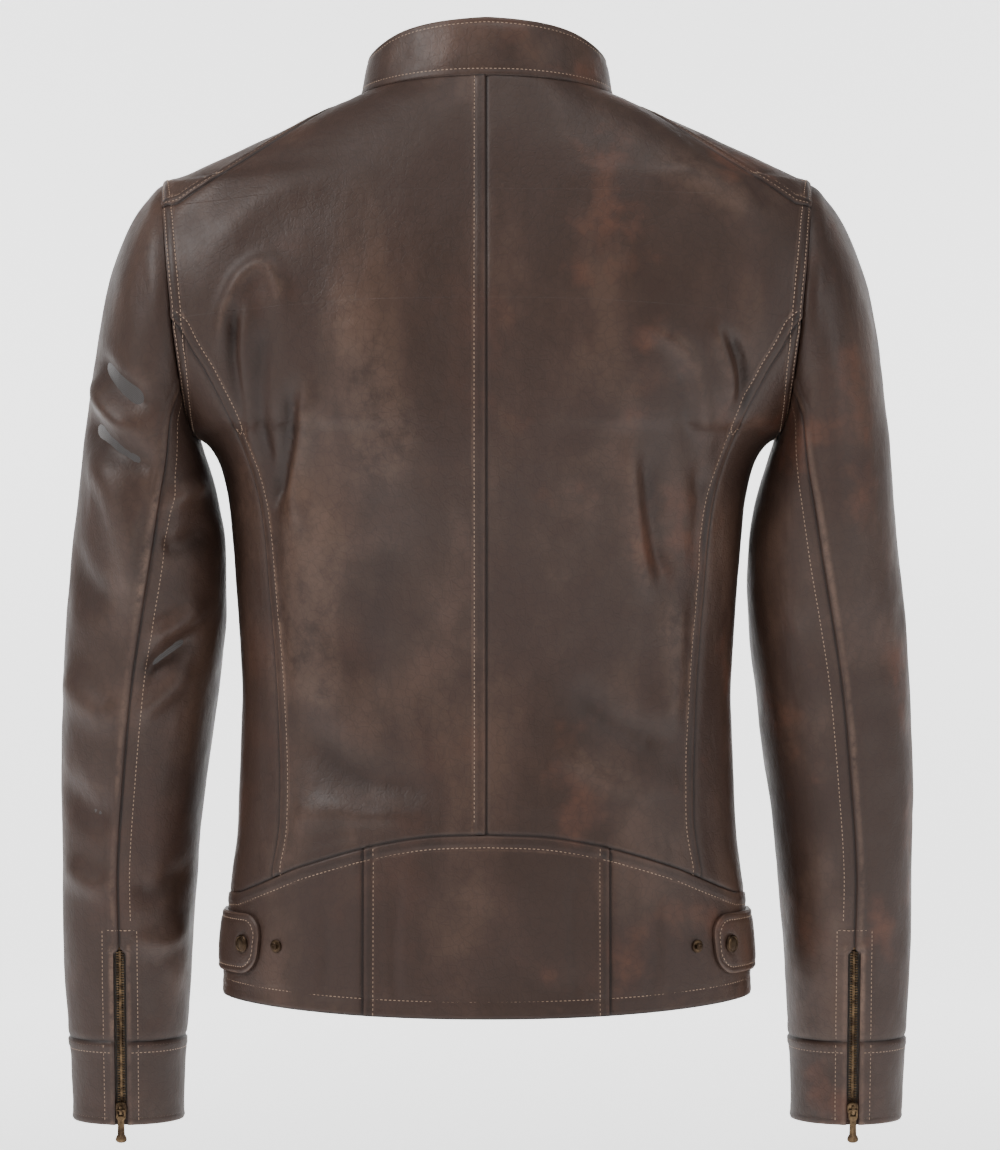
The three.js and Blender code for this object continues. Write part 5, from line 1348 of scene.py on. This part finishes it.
zips = {
    "large": {"inner": 0.9, "bead": 2.4, "tapeEdge": 9.5, "plate": 10, "slider": 15, "pull": 34,
              "pitch": 2.3},
    "small": {"inner": 0.9, "bead": 2.0, "tapeEdge": 8.2, "plate": 7.6, "slider": 11, "pull": 24,
              "pitch": 1.9},
    "tapeTop": -3.5, "tapeCloth": 0.7, "front": 1.0, "plateThickness": 1.4, "bail": 4.2,
    "crossbar": 1.3, "drawn": 39,
}
crossbarY = zips["front"] + zips["plateThickness"] + zips["crossbar"] / 2 + 0.5
mainFrame = lineFrame(np.array([0, frontY(-37.0), -37.0]), np.array([0, frontY(-657.0), -657.0]),
                      np.array([0, -1.0, 0]))
pocketFrame = lineFrame(np.array([112, -94.59, -430.0]), np.array([124.0, -95.91, -575.0]),
                        np.array([0.467, -0.883, 0.047]))
cuffFrame = lineFrame(np.array([263, 16.27, -618.0]), np.array([263, 0.15, -746.0]), np.array([0, 1.0, 0]))


# Teeth of one side between two heights, spread apart where open says how far at a height.
def teethShape(size, side, low, high, opened):
    middle = zips["tapeTop"] - zips["tapeCloth"] / 2
    reach = size["inner"] + size["bead"]
    half = size["pitch"] * 0.27
    outline = np.array([(reach, -half), (0.8, -half), (0.2, -half * 1.5), (-0.9, -half * 1.1),
                        (-0.9, half * 1.1),
                        (0.2, half * 1.5), (0.8, half), (reach, half)])
    shapes = []
    count = int((high - low) / size["pitch"])
    for i in range(count):
        z = low + (i + (0.25 if side > 0 else 0.75)) * size["pitch"]
        v, f = prism(outline, middle - 1.3, middle + 1.3, 0.3)
        v = (v + [opened(z), 0, 0]) * [side, 1, 1] + [0, 0, z]
        shapes.append((v, f if side > 0 else [face[::-1] for face in f]))
    return joinShapes(shapes)


def tapeShape(size, side, low, high):
    middle = zips["tapeTop"] - zips["tapeCloth"] / 2
    x = (size["tapeEdge"] + 1.6) / 2
    half = (size["tapeEdge"] - 1.6) / 2
    box = [(-half, low), (half, low), (half, high), (-half, high)]
    v, f = prism(box, middle - zips["tapeCloth"] / 2, middle + zips["tapeCloth"] / 2, 0.2)
    cord, cordFaces = prism([(-0.9, low), (0.9, low), (0.9, high), (-0.9, high)], middle - 0.9,
                            middle + 0.9, 0.5)
    return joinShapes([(v + [side * x, 0, 0], f),
                       (cord + [side * (size["inner"] + size["bead"] - 0.2), 0, 0], cordFaces)])


def arcPoints(a, b, c, count=6):
    t = np.linspace(0, 1, count)[:, None]
    a, b, c = (np.array(p, float) for p in (a, b, c))
    return ((1 - t) ** 2 * a + 2 * t * (1 - t) * b + t**2 * c).tolist()


def sliderShape(size):
    w, l = size["plate"] / 2, size["slider"] / 2
    plate = ([(-w * 0.7, -l), (w * 0.7, -l)] + arcPoints((w * 0.7, -l), (w, 0), (w, l * 0.6))[1:]
             + arcPoints((w, l * 0.6), (w * 0.9, l), (0, l))[1:]
             + arcPoints((0, l), (-w * 0.9, l), (-w, l * 0.6))[1:]
             + arcPoints((-w, l * 0.6), (-w, 0), (-w * 0.7, -l))[1:-1])
    front, thick = zips["front"], zips["plateThickness"]
    back = zips["tapeTop"] - zips["tapeCloth"] - 0.9 - 0.45
    b, top, high = size["slider"] * 0.3, front + thick, zips["bail"]
    bail = ([(top - 0.4, -b), (top + high * 0.6, -b)]
            + arcPoints((top + high * 0.6, -b), (top + high, -b * 0.7), (top + high, 0))[1:]
            + arcPoints((top + high, 0), (top + high, b * 0.7), (top + high * 0.6, b))[1:]
            + [(top - 0.4, b), (top - 0.4, b - 1.1)]
            + arcPoints((top + high * 0.4, b - 1.1), (top + high - 1.1, b * 0.5), (top + high - 1.1, 0))
            + arcPoints((top + high - 1.1, 0), (top + high - 1.1, -b * 0.5),
                        (top + high * 0.4, -b + 1.1))[1:] + [(top - 0.4, -b + 1.1)])
    flanges = [prism([(s * w * 0.78, -l * 0.8), (s * (w + 0.1), 0), (s * (w + 0.1), l * 0.5),
                      (s * (w - 0.9), l * 0.5), (s * w * 0.68, -l * 0.8)],
                     front - 0.6, front + 0.3, 0.2) for s in (1, -1)]
    web = prism([(-0.55, -0.5), (0.55, -0.5), (0.55, size["slider"] * 0.45),
                 (-0.55, size["slider"] * 0.45)], back - 0.2, front + 0.2, 0.1)
    return joinShapes([prism(plate, front, front + thick, 0.35), prism(plate, back - thick, back, 0.35), web,
                       prism(bail, -0.9, 0.9, 0.3, (1, 0, 2)), *flanges])


def pullShape(size):
    bar, end, window = zips["crossbar"], size["pull"], size["slider"] * 0.3 + 1.0
    half = bar / 2
    arms = [prism([(s * 3.4, half), (s * 3.4, -window - 1.2), (s * 2.0, -window - 1.2), (s * 2.2, half)],
                  -half, half, 0.22) for s in (1, -1)]
    top = prism([(-3.3, -half), (3.3, -half), (3.3, half), (-3.3, half)], -half, half, 0.3)
    stem = ([(3.4, -window), (3.4, -window - 1.2), (2.2, -window - 3.2), (2.6, -end + 6)]
            + arcPoints((2.6, -end + 6), (4.2, -end + 4), (4.0, -end + 2))[1:]
            + arcPoints((4.0, -end + 2), (3.2, -end), (0, -end))[1:])
    stem += [(-x, z) for x, z in stem[::-1][1:]]
    ridge = prism([(-0.8, -window - 4), (0.8, -window - 4), (0.8, -end + 4), (-0.8, -end + 4)],
                  half - 0.2, half + 0.25, 0.15)
    return joinShapes([*arms, top, prism(stem, -half, half, 0.3), ridge])


def moved(shape, y, z):
    return shape[0] + [0, y, z], shape[1]


def zipHardware(zip_, suffix, size, zipFrame, side, at):
    solidPiece(f"{zip_}_slider{suffix}", moved(sliderShape(size), 0, at), zipFrame, side, brass,
               f"{zip_}_slider{suffix}",
               (f"{zip_}_slider{suffix}",))
    solidPiece(f"{zip_}_pull{suffix}", moved(pullShape(size), crossbarY, at), zipFrame, side,
               brass, f"{zip_}_pull{suffix}",
               (f"{zip_}_pull{suffix}",))


def makeMainZip():
    size = zips["large"]
    low, high = 4, mainFrame["length"] - 2
    at = high - zips["drawn"]
    for side, word in ((-1, "left"), (1, "right")):
        solidPiece(f"main_zip_{word}", tapeShape(size, side, low, high), mainFrame, 1, tape,
                   "jacket_body", (f"main_zip_{word}",))
        teeth = teethShape(size, side, low, high, lambda z: 0.9 * float(smoothStep(z, at, at + 9)))
        solidPiece(f"main_zip_teeth_{word}", teeth, mainFrame, 1, brass, "jacket_body")
    zipHardware("main_zip", "", size, mainFrame, 1, at)


def shortZip(zip_, word, side, zipFrame, low, high, at, body):
    size = zips["small"]
    tapes = joinShapes([tapeShape(size, s, low, high) for s in (1, -1)])
    solidPiece(f"{zip_}_{word}", tapes, zipFrame, side, tape, body, (f"{zip_}_{word}",))
    middle = zips["tapeTop"] - zips["tapeCloth"] / 2
    stops = [prism([(-2.4, z - 1), (2.4, z - 1), (2.4, z + 1), (-2.4, z + 1)], middle - 1.2,
                   middle + 1.4, 0.3) for z in (low + 1.5, high - 1.5)]
    teeth = joinShapes([teethShape(size, s, low + 3, high - 3, lambda z: 0.0) for s in (1, -1)] + stops)
    solidPiece(f"{zip_}_teeth_{word}", teeth, zipFrame, side, brass, body)
    zipHardware(zip_, f"_{word}", size, zipFrame, side, at)


# ---- pocket welts

welt = {"inner": 4.5, "outer": 11, "length": 145, "past": 9, "lift": 1.0, "thickness": 1.5, "row": 3.6}


# A ring of leather round the pocket, following the body. share runs from the mouth's edge to the outside.
def weltSurface(side, turn, share):
    halfWidth = welt["inner"] + (welt["outer"] - welt["inner"]) * share
    halfLength = welt["length"] / 2 + welt["past"] * share
    c, s = np.cos(turn), np.sin(turn)
    power = 0.12
    x = halfWidth * np.sign(c) * np.abs(c) ** power
    z = halfLength * np.sign(s) * np.abs(s) ** power
    flat = inFrame(pocketFrame, np.stack([x, 0 * x, z + welt["length"] / 2], -1))
    at = bodyAcrossUp(-1, flat[..., 0], flat[..., 2])
    points, normals = bodyPoint(-1, at[..., 0], at[..., 1]), bodyNormal(-1, at[..., 0], at[..., 1])
    edge = np.minimum(share, 1 - share) * (welt["outer"] - welt["inner"])
    row = (1 - share) * (welt["outer"] - welt["inner"])
    height = welt["lift"] + welt["thickness"] - 0.9 * np.exp(-(edge / 0.9) ** 2)
    height = height - 0.42 * np.exp(-((row - welt["row"]) / 1.2) ** 2)
    height = height + 0.18 * softNoise(mirror(points, side), (9, 9, 9), 3.0)
    return points + normals * height[..., None], normals, 0.5 * np.exp(-(edge / 1.6) ** 2)


def makePocket(side, word):
    turns = np.arctan2(*np.concatenate([
        [(t, 1.0) for t in np.linspace(-1, 1, 90)], [(1.0, -t) for t in np.linspace(-1, 1, 16)[1:]],
        [(-t, -1.0) for t in np.linspace(-1, 1, 90)[1:]], [(-1.0, t) for t in np.linspace(-1, 1, 16)[1:]]]).T)
    turn, share = np.meshgrid(np.unwrap(turns), np.linspace(0, 1, 14))
    points, normals, wearAndShading = weltSurface(side, turn, share)
    layers = leatherLayers(mirror(points, side), mirror(normals, side), wearAndShading, side < 0, welt["thickness"])
    place(gridObject(f"pocket_welt_{word}", layers, leatherDark), "jacket_body", f"pocket_welt_{word}")
    row = np.full(len(turns), 1 - welt["row"] / (welt["outer"] - welt["inner"]))
    points, normals, _ = weltSurface(side, np.unwrap(turns), row)
    stitches(f"pocket_stitches_{word}", "jacket_body", [(mirror(points, side), mirror(normals, side))])
    shortZip("pocket_zip", word, side, pocketFrame, -1.5, welt["length"] + 1.5, welt["length"] - 9,
             "jacket_body")


# ---- straps and snaps

# Points of the body round the waist: a table of (height, distance from the sewn end of the strap).
tabHeights = np.linspace(-tab["drop"] - 24, -tab["drop"] + 24, 25)
tabLengths = np.arange(-2, 112, 1.0)


def waistTable():
    table = []
    for z in tabHeights:
        up = np.full(500, float(sideUp(z)))
        ring = np.concatenate([bodyPoint(-1, np.linspace(0.8, 1, 120), up[:120]),
                               bodyPoint(1, np.linspace(1, 0.2, 380)[1:], up[:379])])
        run = np.concatenate([[0], np.cumsum(np.linalg.norm(np.diff(ring[:, :2], axis=0), axis=1))])
        run -= np.interp(tab["startY"], ring[:, 1], run)
        table.append([[np.interp(l, run, ring[:, 0]), np.interp(l, run, ring[:, 1]), z] for l in tabLengths])
    return np.array(table)


tabTable = waistTable()


def onWaist(length, z):
    i = np.clip((z - tabHeights[0]) / (tabHeights[1] - tabHeights[0]), 0, len(tabHeights) - 1.001)
    j = np.clip(length - tabLengths[0], 1, len(tabLengths) - 2.001)
    i0, j0 = i.astype(int), j.astype(int)
    fi, fj = (i - i0)[..., None], (j - j0)[..., None]

    def at(j0, fj):
        low = tabTable[i0, j0] * (1 - fj) + tabTable[i0, j0 + 1] * fj
        high = tabTable[i0 + 1, j0] * (1 - fj) + tabTable[i0 + 1, j0 + 1] * fj
        return low * (1 - fi) + high * fi

    points = at(j0, fj)
    ahead = at(np.minimum(j0 + 1, len(tabLengths) - 2), fj) - at(j0 - 1, fj)
    normals = np.cross(ahead, [0, 0, 1.0])
    normals /= np.linalg.norm(normals, axis=-1, keepdims=True)
    return points, normals


def tabHalf(length):
    bite = np.clip((length - (tab["length"] - tab["endRound"])) / tab["endRound"], 0, 1)
    return tab["height"] / 2 - tab["endRound"] * (1 - np.sqrt(np.maximum(1 - bite**2, 0.0)))


def onTab(side, length, share):
    half = tabHalf(length)
    points, normals = onWaist(length, share * half - tab["drop"])
    edge = np.minimum((1 - np.abs(share)) * half, tab["length"] - length)
    edge = np.minimum(edge, np.maximum(length, 0) + 0.2)
    height = tab["lift"] + tab["thickness"] - 1.0 * np.exp(-(edge / 1.0) ** 2)
    height = height - 0.45 * np.exp(-((edge - 4.5) / 1.3) ** 2)
    height = height + 0.25 * softNoise(mirror(points, side), (16, 16, 12),
                                       1.0) + 0.35 * (1 - np.exp(-(edge / 6) ** 2))
    dent = np.hypot(length - (tab["length"] - tab["snapFromEnd"]), share * half)
    height = height - 0.5 * np.exp(-((dent - 6.5) / 2.0) ** 2)
    return points + normals * height[..., None], normals, 0.6 * np.exp(-(edge / 1.8) ** 2)


capProfile = [(0.05, 2.4), (2.2, 2.36), (3.6, 2.2), (4.4, 1.95), (4.75, 1.62), (4.95, 1.6),
              (5.3, 1.85), (5.8, 1.75), (6.3, 1.25),
              (6.5, 0.75), (6.3, 0.25), (5.9, 0.0)]
studProfile = [(0.05, 2.6), (0.9, 2.6), (1.2, 3.0), (2.2, 3.0), (2.55, 2.75), (2.6, 2.3), (2.15, 1.5),
               (2.2, 0.8), (4.1, 0.72),
               (4.55, 0.5), (4.6, 0.0)]


def waistFrame(length):
    points, normals = onWaist(np.array([float(length)]), np.array([-float(tab["drop"])]))
    return {"origin": points[0], "axes": np.array([np.cross(normals[0], [0, 0, 1.0]), normals[0],
                                                   [0, 0, 1.0]])}


def makeWaistTab(side, word):
    length, share = np.meshgrid(crowded(110, 0.6) * tab["length"], np.sin(np.linspace(-1, 1, 64) * np.pi / 2))
    points, normals, wearAndShading = onTab(side, length, share)
    layers = leatherLayers(mirror(points, side), mirror(normals, side), wearAndShading, side > 0,
                           tab["thickness"] - 0.4)
    body = f"waist_strap_{word}"
    place(gridObject(f"waist_tab_{word}", layers, leather), body, f"waist_tab_{word}")
    inset = 4.5
    half, round_ = tab["height"] / 2 - inset, tab["endRound"] - inset
    end = tab["length"] - inset
    arc = np.linspace(0, np.pi / 2, 12)
    route = [(3, -half), (end - round_, -half)] + [(end - round_ + round_ * math.sin(a),
                                                    -half + round_ - round_ * math.cos(a)) for a in arc]
    route += [(l, -w) for l, w in route[::-1]] + [(3, -half)]
    route = np.array(route, float)
    run = np.concatenate([[0], np.cumsum(np.linalg.norm(np.diff(route, axis=0), axis=1))])
    at = np.linspace(0, run[-1], 200)
    l, w = np.interp(at, run, route[:, 0]), np.interp(at, run, route[:, 1])
    points, normals, _ = onTab(side, l, w / tabHalf(l))
    stitches(f"waist_tab_stitches_{word}", body, [(mirror(points, side), mirror(normals, side))])
    snapAt = waistFrame(tab["length"] - tab["snapFromEnd"])
    solidPiece(f"waist_snap_{word}", moved(turnedShape(capProfile), tab["lift"] + tab["thickness"] + 0.1,
                                           0), snapAt, side, brass, body,
               (f"waist_snap_{word}",))
    solidPiece(f"waist_stud_{word}", moved(turnedShape(studProfile, 24), 0.3, 0), snapAt, side,
               brass, "jacket_body", (f"waist_stud_{word}",))
    solidPiece(f"waist_spare_stud_{word}", moved(turnedShape(studProfile), 0.4, 0),
               waistFrame(tab["length"] + tab["spareStud"]), side,
               brass, "jacket_body", (f"waist_spare_stud_{word}",))


collarTab = {"start": 26, "length": 62, "height": 24, "z": -55.2, "lift": 8.3, "thickness": 2.4,
             "endRound": 9, "snapFromEnd": 12}


# The collar's front at a given x, from the wearer's left to the right.
def collarFront(x, z):
    around = np.linspace(1.2, 2, 400)
    base = collarPoint(around, np.zeros(400))
    y = np.interp(np.abs(x), base[::-1, 0], base[::-1, 1])
    return np.stack([x, y + (z + 75) * 0.03, z], -1)


def onCollarTab(length, share):
    bite = np.clip((length - (collarTab["length"] - collarTab["endRound"])) / collarTab["endRound"], 0, 1)
    half = collarTab["height"] / 2 - collarTab["endRound"] * (1 - np.sqrt(1 - bite**2))
    x, z = collarTab["start"] - length, collarTab["z"] + share * half
    points = collarFront(x, z)
    ahead = collarFront(x - 1.5, z) - collarFront(x + 1.5, z)
    normals = np.cross(ahead, [0, 0, 1.0])
    normals *= -np.sign(normals[..., 1:2])
    normals /= np.linalg.norm(normals, axis=-1, keepdims=True)
    edge = np.minimum(np.minimum((1 - np.abs(share)) * half, collarTab["length"] - length), length + 0.2)
    height = collarTab["lift"] + collarTab["thickness"] - 0.9 * np.exp(-(edge / 1.0) ** 2)
    height = height - 0.42 * np.exp(-((edge - 3.2) / 1.2) ** 2)
    return points + normals * (height + 0.2 * softNoise(points, (14, 14, 9),
                                                        6.0))[...,
                                                              None], normals, 0.6 * np.exp(-(edge / 1.8) ** 2)


def makeCollarTab():
    length, share = np.meshgrid(crowded(90, 0.6) * collarTab["length"],
                                np.sin(np.linspace(-1, 1, 44) * np.pi / 2))
    points, normals, wearAndShading = onCollarTab(length, share)
    layers = leatherLayers(points, normals, wearAndShading, True, collarTab["thickness"] - 0.2)
    place(gridObject("collar_tab", layers, leather), "collar_strap", "collar_tab")
    lines = []
    for sign in (-1, 1):
        l = np.linspace(3, collarTab["length"] - 6, 80)
        half = collarTab["height"] / 2
        p, n, _ = onCollarTab(l, np.full(80, sign * (half - 3.2) / half))
        lines.append((p, n))
    p, n, _ = onCollarTab(np.full(30, 3.2), np.linspace(-0.7, 0.7, 30))
    lines.append((p, n))
    p, n, _ = onCollarTab(np.full(30, collarTab["length"] - 3.4), np.linspace(-0.8, 0.8, 30))
    lines.append((p, n))
    stitches("collar_tab_stitches", "collar_strap", lines)
    x = collarTab["start"] - collarTab["length"] + collarTab["snapFromEnd"]
    origin = collarFront(np.array(float(x)), np.array(collarTab["z"]))
    _, normal, _ = onCollarTab(np.array(float(collarTab["start"] - x)), np.array(0.0))
    snapAt = {"origin": origin, "axes": np.array([np.cross(normal, [0, 0, 1.0]), normal, [0, 0, 1.0]])}
    solidPiece("collar_snap", moved(turnedShape(capProfile), collarTab["lift"] + collarTab["thickness"]
                                    + 0.1, 0), snapAt, 1, brass,
               "collar_strap", ("collar_snap",))
    solidPiece("collar_stud", moved(turnedShape(studProfile, 24), 0.6, 0), snapAt, 1, brass,
               "jacket_body", ("collar_stud",))


makeMainZip()
for side, word in ((1, "left"), (-1, "right")):
    bodyLining(side, word)
    makePocket(side, word)
    shortZip("cuff_zip", word, side, cuffFrame, 3, 131, 12, f"forearm_sleeve_{word}")
    makeWaistTab(side, word)
makeCollarTab()
print("zips, pockets, straps and lining made")


# The CAD's own hanger loop and pocket bags are the right shape and only take a finish.
def finishNodes():
    for name, material, bevel in (("hanger_loop", leatherDark, 0.5), ("pocket_bag_left", lining, 0.0),
                                  ("pocket_bag_right", lining, 0.0)):
        piece = frame["nodes"][name]
        piece.data.materials.clear()
        piece.data.materials.append(material)
        if bevel:
            soft = piece.modifiers.new("soft_edges", "BEVEL")
            soft.width, soft.segments = bevel * mm, 3


finishNodes()


# ---- camera, light and backdrop

studioSetup = {"camera": (-0.00936, 2.72, -0.35), "lens": 118.3, "sensor": 36, "world": 0.24,
               "seenWorld": 0.85, "glow": 1.25,
               "white": (0.93, 0.93, 0.93)}


def addCamera():
    camera = bpy.data.objects.new("camera", bpy.data.cameras.new("camera"))
    camera.data.sensor_width, camera.data.lens = studioSetup["sensor"], studioSetup["lens"]
    camera.data.clip_end = 40
    camera.location = studioSetup["camera"]
    camera.rotation_euler = (math.radians(90), 0, math.radians(180))
    bpy.context.scene.collection.objects.link(camera)
    bpy.context.scene.camera = camera


# An area light that faces a target.
def addLight(name, location, target, width, height, watts, colour=(1, 1, 1)):
    lamp = bpy.data.lights.new(name, "AREA")
    lamp.shape, lamp.size, lamp.size_y, lamp.energy, lamp.color = "RECTANGLE", width, height, watts, colour
    holder = bpy.data.objects.new(name, lamp)
    holder.location = location
    holder.rotation_euler = (Vector(target) - Vector(location)).to_track_quat("-Z", "Y").to_euler()
    bpy.context.scene.collection.objects.link(holder)


# A white sweep: floor below, curved up into a wall, on the far side of the jacket from the camera.
def addBackdrop():
    n = Nodes("backdrop_white")
    material = n.finish(Base_Color=studioSetup["white"], Roughness=0.9, Specular_IOR_Level=0.1,
                        Emission_Color=(1.0, 1.0, 1.0), Emission_Strength=studioSetup["glow"])
    sweep = [(-5.2 - 1.2 * math.sin(a), -0.05 - 1.2 * math.cos(a)) for a in np.linspace(0, np.pi / 2, 16)]
    profile = [(4.0, -1.25)] + sweep + [(-6.4, 3.5)]
    verts = [(x, y, z) for y, z in profile for x in (-6.0, 6.0)]
    faces = [(2 * i, 2 * i + 1, 2 * i + 3, 2 * i + 2) for i in range(len(profile) - 1)]
    mesh = bpy.data.meshes.new("backdrop")
    mesh.from_pydata(verts, [], faces)
    mesh.materials.append(material)
    mesh.polygons.foreach_set("use_smooth", [True] * len(faces))
    wall = bpy.data.objects.new("backdrop", mesh)
    bpy.context.scene.collection.objects.link(wall)


def addWorld():
    world = bpy.data.worlds.new("studio")
    bpy.context.scene.world = world
    world.use_nodes = True
    nodes, links = world.node_tree.nodes, world.node_tree.links
    nodes["Background"].inputs["Color"].default_value = (1, 1, 1, 1)
    seen = nodes.new("ShaderNodeMapRange")  # the camera sees the world whiter than it shines
    seen.inputs["To Min"].default_value = studioSetup["world"]
    seen.inputs["To Max"].default_value = studioSetup["seenWorld"]
    links.new(nodes.new("ShaderNodeLightPath").outputs["Is Camera Ray"], seen.inputs["Value"])
    links.new(seen.outputs["Result"], nodes["Background"].inputs["Strength"])


addCamera()
addLight("key", (1.7, 1.1, 1.1), (0.0, 0.0, -0.3), 0.55, 0.8, 46)
addLight("fill", (-2.2, 1.4, 0.4), (0.0, 0.0, -0.35), 0.9, 1.6, 19)
addLight("top", (-0.3, 0.9, 1.9), (0.0, 0.0, -0.3), 1.2, 0.6, 20)
addLight("wall_left", (2.8, -3.6, 0.8), (0.5, -6.4, -0.3), 1.6, 2.4, 95)
addLight("wall_right", (-2.8, -3.6, 0.8), (-0.5, -6.4, -0.3), 1.6, 2.4, 95)
addBackdrop()
addWorld()
print("studio ready")
